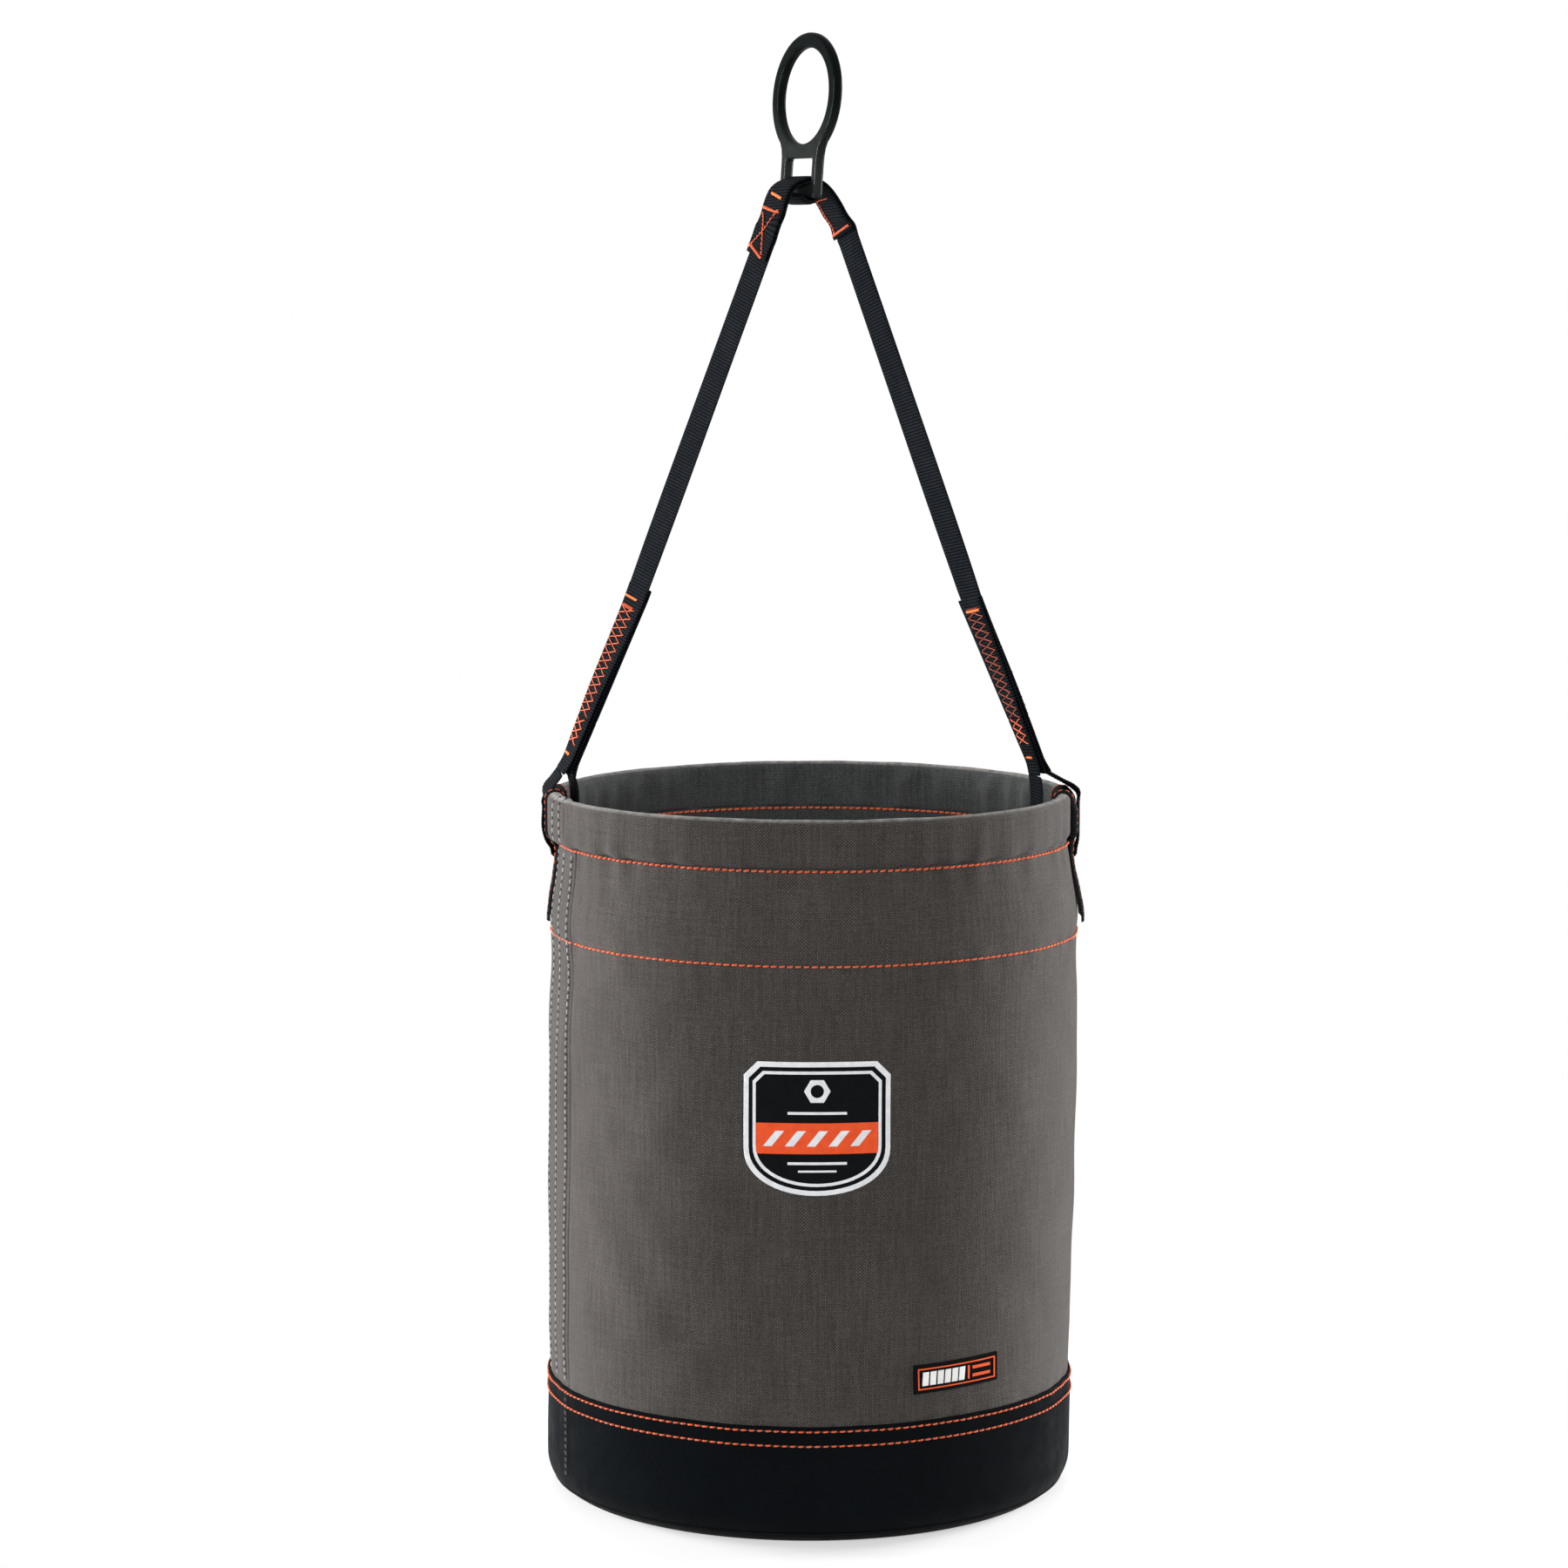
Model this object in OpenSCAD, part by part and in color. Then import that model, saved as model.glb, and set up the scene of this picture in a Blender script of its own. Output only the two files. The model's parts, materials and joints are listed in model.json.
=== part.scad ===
// Hoist bucket: a round open-top canvas bucket on a two-leg webbing bail with a forged ring.
// Millimetres. +Z is up, the bail legs stand at +X and -X, and the badge faces -Y.
// The origin is the centre of the underside.

/* [Bucket] */
// Outer radius of the canvas wall
wall_r = 158.2; // [150:0.1:166]
// Height of the rim crest above the floor
rim_z = 425; // [400:1:450]
// Thickness of one canvas ply
canvas_t = 1.6; // [1.2:0.1:1.9]
// Height of the seam that holds the inner collar facing
collar_z = 341; // [325:1:346]

/* [Rim] */
// Thickness of the rim casing, hoop and canvas together
casing_w = 9; // [8.6:0.1:10]
// Height of the rim casing
casing_h = 28; // [27:0.5:32]
// Thickness of the flat hoop
hoop_t = 3; // [2:0.1:3.2]

/* [Boot] */
// Height of the boot's top edge
boot_z = 72.4; // [60:0.1:90]
// Thickness of the boot material
boot_t = 1.2; // [1:0.1:1.4]
// Radius of the rounded bottom corner
corner_r = 20; // [16:1:22]
// Thickness of the rigid base plate
plate_t = 3; // [2:0.5:4]

/* [Webbing] */
// Width of the bail webbing
web_w = 25; // [20:1:25]
// Thickness of one webbing ply
web_t = 2; // [1.6:0.1:2]
// Height of the fold line of the bail
fold_z = 446; // [444:1:448]
// Turn of the webbing between the rim and the ring, in degrees
ring_turn = 30; // [20:1:35]
// How far the loops have slid along the rim, so that the legs stand towards -X
hang = 3.3; // [0:0.1:4]
// Distance of the bar from the middle of the bucket, towards -X
bar_shift = 4.8; // [0:0.1:5.5]

/* [Ring] */
// Radius of the round eye
eye_r = 28.4; // [24:0.1:30]
// Width of the band round the eye
eye_band = 9; // [8:0.5:10]
// Thickness of the ring plate
ring_t = 6; // [5.5:0.5:7]
// Width of the slot that takes the webbing
slot_w = 29; // [29:0.5:32]
// Radius of the round bar under the slot
bar_r = 4.3; // [3.5:0.1:4.3]
// Lean of the hanging ring towards +X, in degrees
ring_lean = 4.3; // [0:0.1:6]

/* [Labels] */
// Width of the front badge
badge_w = 85; // [60:1:90]
// Height of the front badge
badge_h = 78; // [60:1:84]
// Width of the small rubber label
label_w = 59; // [40:1:64]
// Height of the small rubber label
label_h = 17; // [14:1:20]

/* [Hidden] */
$fn = 96;

CANVAS = [0.36, 0.33, 0.30];
BLACK = [0.05, 0.05, 0.06];
ORANGE = [0.95, 0.33, 0.12];
GREY_THREAD = [0.72, 0.72, 0.70];

gap = 0.2;                          // air between plies that lie on each other
thread_r = 0.5;                     // half thickness of the sewing thread
neck_r = wall_r - 4.5;              // canvas radius where the rim casing is sewn on
neck_z = rim_z - casing_h;          // lower edge of the rim casing
flare_z = rim_z - 75;               // below this the wall is straight
casing_out = wall_r + 0.8;          // outer face of the rim casing
casing_mid = casing_out - casing_w / 2;
crown_z = rim_z - casing_w / 2;     // centre of the casing's round top
tuck_r = casing_out - neck_r;       // round lower edge of the casing
tuck_z = neck_z + tuck_r;
slit_z = neck_z - 11;               // middle of the slit that the rim loop passes through
slit_h = 6;
slit_w = web_w + 2;

function wall_at(z) = z <= flare_z ? wall_r
    : wall_r + (neck_r - wall_r) * (z - flare_z) / (neck_z - flare_z);
function arc(c, r, a0, a1, n = 8) =
    [for (i = [0 : n]) let (a = a0 + (a1 - a0) * i / n) [c[0] + r * cos(a), c[1] + r * sin(a)]];

// ---------- Canvas ----------

// A ply that follows the wall from z0 to z1, its inner face at offset off from the canvas face.
module wall_profile(off, t, z0, z1) {
    zs = z1 > flare_z && z0 < flare_z ? [z0, flare_z, z1] : [z0, z1];
    inner = [for (z = zs) [wall_at(z) + off, z]];
    outer = [for (i = [len(zs) - 1 : -1 : 0]) [wall_at(zs[i]) + off + t, zs[i]]];
    polygon(concat(inner, outer));
}

module wall_ply(off, t, z0, z1) rotate_extrude() wall_profile(off, t, z0, z1);

module slits() {
    for (s = [-1, 1])
        translate([s * neck_r, 0, slit_z]) cube([24, slit_w, slit_h], center = true);
}

module canvas_body() {
    corner = [corner_c[0], corner_r];
    bend = wall_r - corner_c[0];
    color(CANVAS) difference() {
        union() {
            wall_ply(-canvas_t, canvas_t, corner_r, neck_z);
            rotate_extrude() polygon(concat(
                arc(corner, bend, 0, -50), arc(corner, bend - canvas_t, -50, 0)));
        }
        slits();
    }
}

module collar_facing() {
    color(CANVAS) difference() {
        wall_ply(-2 * canvas_t - gap, canvas_t, collar_z - 4, neck_z);
        slits();
    }
}

// Outline of the casing, drawn inwards by t.
module casing_shape(t) {
    polygon(concat(
        [[casing_mid - casing_w / 2 + t, neck_z + t]],
        arc([casing_mid, crown_z], casing_w / 2 - t, 180, 0, 16),
        arc([neck_r, tuck_z], tuck_r - t, 0, -90)));
}

module rim_casing() {
    color(CANVAS) rotate_extrude() difference() {
        casing_shape(0);
        casing_shape(canvas_t);
    }
}

module rim_hoop() {
    hoop_top = rim_z - canvas_t - 1;
    hoop_bottom = neck_z + canvas_t + 1.6;
    color([0.8, 0.8, 0.78]) rotate_extrude() polygon(concat(
        arc([casing_mid, hoop_top - hoop_t / 2], hoop_t / 2, 0, 180),
        arc([casing_mid, hoop_bottom + hoop_t / 2], hoop_t / 2, 180, 360)));
}

seam_a0 = 188;                      // the side lap lies between these angles from +X
seam_a1 = 206;

module side_seam_lap() {
    color(CANVAS) rotate([0, 0, seam_a0]) rotate_extrude(angle = seam_a1 - seam_a0)
        wall_profile(gap / 2, 0.9, boot_z + 0.3, neck_z - 1);
}

// ---------- Boot and base ----------

boot_in = wall_r + gap / 2;
boot_out = boot_in + boot_t;
corner_c = [boot_out - corner_r, corner_r];
cup_a = -37;                        // the base cup's edge, as an angle on the corner

module boot_wall() {
    color(BLACK) rotate_extrude() polygon(concat(
        [[boot_in, boot_z], [boot_out, boot_z]],
        arc(corner_c, corner_r, 0, cup_a),
        arc(corner_c, corner_r - boot_t, cup_a, 0)));
}

module boot_base() {
    color(BLACK) rotate_extrude() polygon(concat(
        [[0, boot_t], [0, 0]],
        arc(corner_c, corner_r, -90, cup_a - 4),
        arc(corner_c, corner_r - boot_t, cup_a - 4, -90)));
}

// Piping in the seam between the boot wall and the base cup.
module base_piping() {
    a = cup_a - 2;
    color(BLACK) rotate_extrude()
        translate([corner_c[0] + (corner_r - 0.3) * cos(a), corner_c[1] + (corner_r - 0.3) * sin(a)])
            circle(r = 0.62, $fn = 16);
}

module base_plate() {
    color([0.12, 0.12, 0.12]) translate([0, 0, boot_t + gap])
        cylinder(r = corner_c[0] + 1, h = plate_t);
}

module floor_lining() {
    color(CANVAS) translate([0, 0, boot_t + plate_t + 2 * gap])
        cylinder(r = corner_c[0] + 8, h = canvas_t);
}

// ---------- Webbing on the rim ----------

saddle_t = 1.7;
saddle_w = 38;                      // the patch is wider than the loop that runs on it
saddle_foot = flare_z - 5;
saddle_in = 18;                     // reach of the patch down the inside of the casing

// Path of the patch over the casing, at distance d from the canvas.
function saddle_path(d) = concat(
    [[casing_mid - casing_w / 2 - d, rim_z - saddle_in - casing_w / 2]],
    arc([casing_mid, crown_z], casing_w / 2 + d, 180, 0, 16),
    arc([neck_r, tuck_z], tuck_r + d, 0, -45 - 20 / (1 + d)),
    [[wall_at(neck_z - 4) + d, neck_z - 4], [wall_r + d, flare_z], [wall_r + d, saddle_foot]]);
function reversed(v) = [for (i = [len(v) - 1 : -1 : 0]) v[i]];

module saddle_band(d, t, a0, a1) {
    rotate([0, 0, a0]) rotate_extrude(angle = a1 - a0)
        polygon(concat(saddle_path(d), reversed(saddle_path(d + t))));
}

module saddle_patch(side) {
    half = saddle_w / casing_out * 90 / PI;
    color(BLACK) rotate([0, 0, side < 0 ? 180 : 0]) difference() {
        saddle_band(gap, saddle_t, -half, half);
        translate([neck_r, 0, slit_z]) cube([24, slit_w, slit_h], center = true);
    }
}

module saddle_thread(side) {
    edge = (saddle_w / 2 - 2.5) / casing_out * 180 / PI;
    color(ORANGE) rotate([0, 0, side < 0 ? 180 : 0]) for (a = [-edge, edge])
        saddle_band(gap + saddle_t + 0.05, 0.4, a - 0.2, a + 0.2);
}

// ---------- Ribbons ----------

function unit(v) = v / norm(v);
// Width direction of the webbing after a turn about the vertical.
function width_dir(turn) = [sin(turn), -cos(turn), 0];

// A flat ribbon through stations of [point, turn, offset off the face].
module ribbon(stations, w, t) {
    n = len(stations);
    p = [for (s = stations) s[0]];
    along = [for (i = [0 : n - 1]) unit(p[min(i + 1, n - 1)] - p[max(i - 1, 0)])];
    wide = [for (i = [0 : n - 1]) let (d = width_dir(stations[i][1])) unit(d - (d * along[i]) * along[i])];
    face = [for (i = [0 : n - 1]) cross(wide[i], along[i])];
    points = [for (i = [0 : n - 1], c = [[1, 1], [-1, 1], [-1, -1], [1, -1]])
        p[i] + wide[i] * c[0] * w / 2 + face[i] * (stations[i][2] + c[1] * t / 2)];
    // Both wide faces are split along the same diagonal, so that stacked plies stay parallel.
    sides = [for (i = [0 : n - 2], k = [0 : 3])
        let (a = 4 * i + k, b = 4 * i + (k + 1) % 4)
            each (k == 2 ? [[a, b, a + 4], [b, b + 4, a + 4]] : [[a, b, b + 4], [a, b + 4, a + 4]])];
    last = 4 * n - 4;
    ends = [[2, 1, 0], [3, 2, 0], [last, last + 1, last + 2], [last, last + 2, last + 3]];
    polyhedron(points, concat(ends, sides));
}

// ---------- Bail ----------

bar_z = rim_z + 358;                // axis of the ring's bar
notch_z = rim_z + 9;                // where the two legs of a rim loop meet
flex_z = fold_z + 20;               // the laps bend between the notch and this height
lap_z = rim_z + 116;                // upper end of a lap
neck_top_z = bar_z - 20;            // here the straight leg turns into the shoulder
foot_x = 144.3;                     // strap centre at the notch
lap_x = 100.8;                      // strap centre at the upper end of a lap
head_x = 20.7;                      // strap centre below the shoulder
foot_turn = ring_turn / 2 - 1.5;
leg_lean = atan((foot_x - lap_x) / (lap_z - notch_z));
ply = web_t + 0.1;                  // spacing of plies that are sewn together
over_ply = web_t + 0.4;             // spacing of the two straps, which twist on each other at the bar
lining_t = 3.6;                     // two plies under the bar
bar_wrap = bar_r + 0.3 + web_t / 2; // centre of the inner ply over the bar
end_left_z = bar_z - 39;            // where the strap ends are sewn down on each side
end_right_z = bar_z - 25.5;

function mix(a, b, f) = a + (b - a) * f;
function leg_share(z) = (z - notch_z) / (lap_z - notch_z);
function head_share(z) = (z - lap_z) / (neck_top_z - lap_z);
function leg_x(z) = z < lap_z ? mix(foot_x, lap_x, leg_share(z)) : mix(lap_x, head_x, head_share(z));
function leg_turn(z) = mix(foot_turn, ring_turn, min(1, leg_share(z)));
// The strap leaves the bar square to it, and drifts back into the plane of the bail.
function leg_y(z) = z < lap_z ? 0 : 12 * pow(head_share(z), 3);
// Sideways hang of a leg, which gets less towards the shoulder.
function sway(z) = -hang * (1 - 0.4 * max(0, head_share(z)));
// One station: [point, turn, offset off the face].
function leg_station(side, z, off) = [[side * leg_x(z) + sway(z), side * leg_y(z), z], leg_turn(z), off];

// Shoulder beside the bar, as [distance from the bar, height above its axis].
SHOULDER = [[20.4, -14.5], [17.8, -9], [15, -4], [12, 0], [8.4, 2.8]];
bar_across = [cos(ring_turn), sin(ring_turn), 0];
function bar_sway(z) = mix(-bar_shift, sway(neck_top_z), min(0, z) / (neck_top_z - bar_z));
function bar_station(side, d, z, off) =
    [side * d * bar_across + [bar_sway(z), 0, bar_z + z], ring_turn, off];

// Evenly spaced heights from z0 to z1. Plies that lie on each other share them.
function heights(z0, z1, n) = [for (k = [0 : n]) mix(z0, z1, k / n)];
function lap_heights() = heights(flex_z, lap_z, 12);
function leg_heights(z0) = z0 > lap_z ? heights(z0, neck_top_z, 10)
    : concat(lap_heights(), [for (z = heights(lap_z, neck_top_z, 16)) if (z > lap_z) z]);

// Stations of one side from height z0 to the shoulder's end, the offset growing from off0 to off1.
function side_up(side, z0, off0, off1) = concat(
    [for (z = leg_heights(z0))
        leg_station(side, z, z0 > lap_z ? off1 : mix(off0, off1, max(0, head_share(z))))],
    [for (s = SHOULDER) bar_station(side, s[0], s[1], off1)],
    [for (a = [60, 75]) bar_station(side, bar_wrap * cos(a), bar_wrap * sin(a), off1)]);
function over_bar(z_left, z_right, off0, off1) = concat(
    side_up(-1, z_left, off0, off1),
    [bar_station(1, 0, bar_wrap, off1)],
    reversed(side_up(1, z_right, off0, off1)));

// The left strap passes over the bar and is sewn to the inner face of the right one. A lining of
// webbing closes the eye below the bar.
module strap_left() {
    color(BLACK) {
        ribbon(over_bar(flex_z, end_right_z, 0, 0), web_w, web_t);
        at_bar() rotate([0, 90, 0]) rotate([0, 0, -75])
            translate([0, 0, -web_w / 2]) rotate_extrude(angle = 150)
                translate([bar_r + 0.3, 0]) square([lining_t, web_w]);
    }
}

// The right strap passes over the left one and is sewn to its outer face.
module strap_right() {
    color(BLACK) ribbon(over_bar(end_left_z, flex_z, 0, over_ply), web_w, web_t);
}

// Stations of a lap at heights zs, listed so that a positive offset is outwards.
function lap(side, zs, off) =
    let (up = [for (z = zs) leg_station(side, z, off)]) side < 0 ? up : reversed(up);

// The two plies of the rim loop on the faces of the strap, up to the lap's end.
module lap_plies(side) {
    color(BLACK) for (off = [-ply, ply]) ribbon(lap(side, lap_heights(), off), web_w, web_t);
}

// The three plies just above the rim, where the bail folds over.
module lap_flex(side) {
    color(BLACK) for (off = [-ply, 0, ply])
        ribbon(lap(side, heights(notch_z + 3, flex_z, 4), off), web_w, web_t);
}

zigzag_w = 19;
thread_t = 0.4;
thread_gap = thread_t / 2 + 0.1;    // from a ply's face to the middle of the thread on it
function inner_part(v) = [for (i = [1 : len(v) - 2]) v[i]];

module lap_thread(side) {
    off = ply + web_t / 2 + thread_gap;
    color(ORANGE) for (o = [-off, off])
        ribbon(lap(side, inner_part(lap_heights()), o), zigzag_w, thread_t);
}

// Stitching on the outer face of the left strap end, or on the inner face of the right one.
module top_thread(side) {
    end_z = side < 0 ? end_left_z : end_right_z;
    off = side < 0 ? over_ply + web_t / 2 + thread_gap : -web_t / 2 - 3 * thread_gap;
    legs = leg_heights(end_z);
    up = concat(
        [for (i = [1 : len(legs) - 1]) leg_station(side, legs[i], off)],
        [for (i = [0, 1]) bar_station(side, SHOULDER[i][0], SHOULDER[i][1], off)]);
    color(ORANGE) ribbon(side < 0 ? up : reversed(up), zigzag_w, thread_t);
}

// The loop round the rim: out over the patch, in through the slit and up inside the casing.
loop_out = casing_out + gap + saddle_t + gap + web_t / 2;
loop_in = casing_out - casing_w - 10.5;
loop_arc = casing_w / 2 + 2 * gap + saddle_t + web_t / 2;

module rim_loop(side) {
    top_z = notch_z + 1.2;
    foot = leg_x(top_z) + side * sway(top_z);
    out_x = foot + ply * cos(leg_lean);
    path = concat(
        [[out_x, top_z + ply * sin(leg_lean), foot_turn], [out_x + 3.2, notch_z + 0.2, foot_turn * 0.5],
         [mix(out_x, casing_mid, 0.65), notch_z - 3.2, foot_turn * 0.15]],
        [for (p = arc([casing_mid, crown_z], loop_arc, 56, 0, 6)) [p[0], p[1], 0]],
        [[loop_out, tuck_z - 3, 0], [loop_out - 1, neck_z - 2, 0], [loop_out - 3.5, slit_z + 4.5, 0],
         [neck_r + 3.5, slit_z + 0.6, 0], [neck_r, slit_z - 0.3, 0], [neck_r - 4, slit_z + 0.4, 0],
         [neck_r - 7.5, slit_z + 3, 0], [loop_in + 2.2, slit_z + 12, foot_turn * 0.25],
         [loop_in, crown_z - 8, foot_turn * 0.6], [loop_in, crown_z + 5, foot_turn * 0.9],
         [foot - ply * cos(leg_lean), top_z - 1.5 - ply * sin(leg_lean), foot_turn]]);
    stations = [for (p = path) [[side * p[0], 0, p[1]], p[2], 0]];
    color(BLACK) ribbon(side < 0 ? reversed(stations) : stations, web_w, web_t);
}

// ---------- Ring ----------

eye_z = bar_z + 27.9 + eye_r;       // centre of the eye
chamfer = 1.8;
post_w = 7.2;
slot_top = bar_r + 15;

// Placed with its own X along the bar and its own Y through the plate.
module at_bar() translate([-bar_shift, 0, bar_z]) rotate([0, 0, ring_turn - 90]) children();

module ring_neck() {
    half = slot_w / 2;
    rotate([90, 0, 0]) linear_extrude(ring_t, center = true) difference() {
        polygon(concat(
            arc([half + post_w - 4, -bar_r + 3], 4, -90, 0, 6),
            [[half + post_w, slot_top + 2], [half + post_w + 1, slot_top + 6],
             [half + post_w + 5, slot_top + 12], [-half - post_w - 5, slot_top + 12],
             [-half - post_w - 1, slot_top + 6], [-half - post_w, slot_top + 2]],
            arc([-half - post_w + 4, -bar_r + 3], 4, 180, 270, 6)));
        translate([-half, -bar_r - 5]) square([2 * half, slot_top + bar_r + 5]);
        translate([0, eye_z - bar_z]) circle(r = eye_r + 2);
    }
}

module ring_plate() {
    color(BLACK) at_bar() rotate([-ring_lean, 0, 0]) {
        translate([0, 0, eye_z - bar_z]) rotate([90, 0, 0]) rotate_extrude() polygon([
            [eye_r, -ring_t / 2 + chamfer], [eye_r + chamfer, -ring_t / 2],
            [eye_r + eye_band - chamfer, -ring_t / 2], [eye_r + eye_band, -ring_t / 2 + chamfer],
            [eye_r + eye_band, ring_t / 2 - chamfer], [eye_r + eye_band - chamfer, ring_t / 2],
            [eye_r + chamfer, ring_t / 2], [eye_r, ring_t / 2 - chamfer]]);
        ring_neck();
        rotate([0, 90, 0]) cylinder(r = bar_r, h = slot_w + post_w, center = true);
    }
}

// ---------- Labels ----------

// A flat outline drawn on the front and wrapped onto the wall, at angle a from the front.
module on_wall(a, z, t) {
    rotate([0, 0, a]) intersection() {
        translate([0, 0, z]) rotate([90, 0, 0]) linear_extrude(wall_r + 10) children();
        translate([0, 0, z - 60]) difference() {
            cylinder(r = wall_r + gap + t, h = 120);
            translate([0, 0, -1]) cylinder(r = wall_r + gap, h = 122);
        }
    }
}

badge_z = 247;
badge_a = 1.6;
label_z = 97.5;
label_a = 33;

module badge_patch() {
    w = badge_w / 2;
    h = badge_h / 2;
    color("white") on_wall(badge_a, badge_z, 1) polygon([
        [-w, h - 8], [-w + 8, h], [w - 8, h], [w, h - 8], [w, -h * 0.35],
        [w * 0.6, -h * 0.8], [0, -h], [-w * 0.6, -h * 0.8], [-w, -h * 0.35]]);
}

module rubber_label() {
    color(BLACK) on_wall(label_a, label_z, 1.6) square([label_w, label_h], center = true);
}

// ---------- Thread ----------

patch_a = (saddle_w / 2 + 1) / neck_r * 180 / PI;

// A round of thread on the wall's face, front and back, clear of the two patches.
module thread_round(z, off) {
    for (a = [patch_a, 180 + patch_a])
        rotate([0, 0, a]) rotate_extrude(angle = 180 - 2 * patch_a)
            translate([wall_at(z) + off, z]) circle(r = thread_r, $fn = 16);
}

module full_round(r, z) {
    rotate_extrude() translate([r, z]) circle(r = thread_r, $fn = 16);
}

module rim_seam_thread() color(ORANGE) thread_round(neck_z - 2, 1.5);
module collar_seam_thread() color(ORANGE) full_round(wall_r + 1 + thread_r + 0.1, collar_z);
module boot_thread_upper() color(ORANGE) full_round(boot_out + thread_r + 0.1, boot_z - 2.8);
module boot_thread_lower() color(ORANGE) full_round(boot_out + thread_r + 0.1, boot_z - 11.4);

module base_seam_thread() {
    color(BLACK) full_round(corner_c[0] - 6, boot_t + plate_t + canvas_t + 2 * gap + thread_r + 0.1);
}

module side_seam_thread() {
    spans = [[boot_z + 3, collar_z - 1.2], [collar_z + 1.2, neck_z - 4]];
    color(GREY_THREAD) for (a = [191, 197.5, 203.5], z = spans) rotate([0, 0, a])
        rotate_extrude(angle = 0.35) wall_profile(1.1, thread_r, z[0], z[1]);
}

// ---------- Nodes ----------

canvas_body();
collar_facing();
rim_casing();
rim_hoop();
side_seam_lap();
boot_wall();
boot_base();
base_plate();
floor_lining();
base_piping();
saddle_patch(-1);  // saddle_patch_left
saddle_patch(1);  // saddle_patch_right
rim_loop(-1);  // rim_loop_left
rim_loop(1);  // rim_loop_right
lap_flex(-1);  // lap_flex_left
lap_flex(1);  // lap_flex_right
lap_plies(-1);  // lap_plies_left
lap_plies(1);  // lap_plies_right
strap_left();
strap_right();
ring_plate();
badge_patch();
rubber_label();
rim_seam_thread();
collar_seam_thread();
boot_thread_upper();
boot_thread_lower();
side_seam_thread();
base_seam_thread();
saddle_thread(-1);  // saddle_thread_left
saddle_thread(1);  // saddle_thread_right
lap_thread(-1);  // lap_thread_left
lap_thread(1);  // lap_thread_right
top_thread(-1);  // top_thread_left
top_thread(1);  // top_thread_right
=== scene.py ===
"""Canvas hoist bucket: the looks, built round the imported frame.

Shapes are worked out in millimetres and become metres when a mesh is made.
+Z is up and the badge faces -Y. Angles round the bucket are in degrees, from the front towards +X.
"""
import json
import math
from contextlib import contextmanager

import bmesh
import bpy
import numpy as np
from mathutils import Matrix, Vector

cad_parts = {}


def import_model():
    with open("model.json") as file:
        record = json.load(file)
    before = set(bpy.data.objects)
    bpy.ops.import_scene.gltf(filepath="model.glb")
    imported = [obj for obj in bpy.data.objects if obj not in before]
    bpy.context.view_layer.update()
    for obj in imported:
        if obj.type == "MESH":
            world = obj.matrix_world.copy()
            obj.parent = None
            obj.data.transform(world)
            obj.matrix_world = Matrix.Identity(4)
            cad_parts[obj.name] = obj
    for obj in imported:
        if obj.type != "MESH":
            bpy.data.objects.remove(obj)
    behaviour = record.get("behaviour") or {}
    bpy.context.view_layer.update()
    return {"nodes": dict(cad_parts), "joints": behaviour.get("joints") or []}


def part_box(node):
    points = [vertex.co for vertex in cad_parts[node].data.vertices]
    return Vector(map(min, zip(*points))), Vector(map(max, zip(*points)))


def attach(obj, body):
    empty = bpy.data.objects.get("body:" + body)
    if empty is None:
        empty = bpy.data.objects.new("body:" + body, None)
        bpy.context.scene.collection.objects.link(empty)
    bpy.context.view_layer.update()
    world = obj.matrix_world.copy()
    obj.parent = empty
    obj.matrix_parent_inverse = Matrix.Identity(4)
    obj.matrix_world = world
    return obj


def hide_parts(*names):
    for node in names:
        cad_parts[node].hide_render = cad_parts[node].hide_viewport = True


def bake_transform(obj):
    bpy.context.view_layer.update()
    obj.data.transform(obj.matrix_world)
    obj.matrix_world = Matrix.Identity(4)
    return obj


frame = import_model()
MM = 0.001
TAU = 2 * math.pi


# ---------- Sizes from the frame ----------

def node_box(node):
    """Lowest and highest corner of a CAD node, in millimetres."""
    return [np.array(corner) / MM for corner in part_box(node)]


def joint(name):
    return next(j for j in frame["joints"] if j["name"] == name)


WALL_R = node_box("canvas_body")[1][1]
NECK_Z = node_box("rim_casing")[0][2]
RIM_Z = node_box("rim_casing")[1][2]
CASING_OUT = node_box("rim_casing")[1][1]
COLLAR_Z = float(np.mean([corner[2] for corner in node_box("collar_seam_thread")]))
BOOT_Z = node_box("boot_wall")[1][2]
BOOT_OUT = node_box("boot_wall")[1][1]
BAR_X, BAR_Z = joint("ring_swing")["pos_m"][0] / MM, joint("ring_swing")["pos_m"][2] / MM
RING_TURN = math.degrees(math.atan2(joint("ring_swing")["axis"][0], -joint("ring_swing")["axis"][1]))
FLEX_LOW, FLEX_Z = (corner[2] for corner in node_box("lap_flex_left"))
LINING_Z = node_box("floor_lining")[1][2]
HANG = -(node_box("lap_plies_left")[0][0] + node_box("lap_plies_right")[1][0]) / 2

CANVAS_T = 1.6
CASING_W = 9
NECK_R = WALL_R - 4.5               # canvas radius where the rim casing is sewn on
FLARE_Z = RIM_Z - 75                # below this the wall is straight
CORNER_R = 20                       # rounded bottom corner of the boot
CORNER_X = BOOT_OUT - CORNER_R
BOOT_T = 1.2
CUP_ANGLE = -37                     # edge of the base cup on that corner
WEB_W, WEB_T = 25, 2
RIB = 1.9                           # spacing of the webbing's ribs
PLY = WEB_T + 0.1                   # spacing of plies that are sewn together
SADDLE_W, SADDLE_T = 38, 1.7
SIDE_LAP = (-84, -64.6)             # angles that the side lap covers
SIDE_ROWS = (-79, -72.5, -66.5)     # angles of its rows of stitches
CASING_ROWS = (-74, -69.2)          # the same on the rim casing
BOOT_ROW = -65.3                    # angle of the boot's own side seam


# ---------- Numbers ----------

def mix(a, b, share):
    return a + (b - a) * share


def hump(x, centre, width):
    """A smooth bump of height 1."""
    return np.exp(-((x - centre) / width) ** 2)


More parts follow.
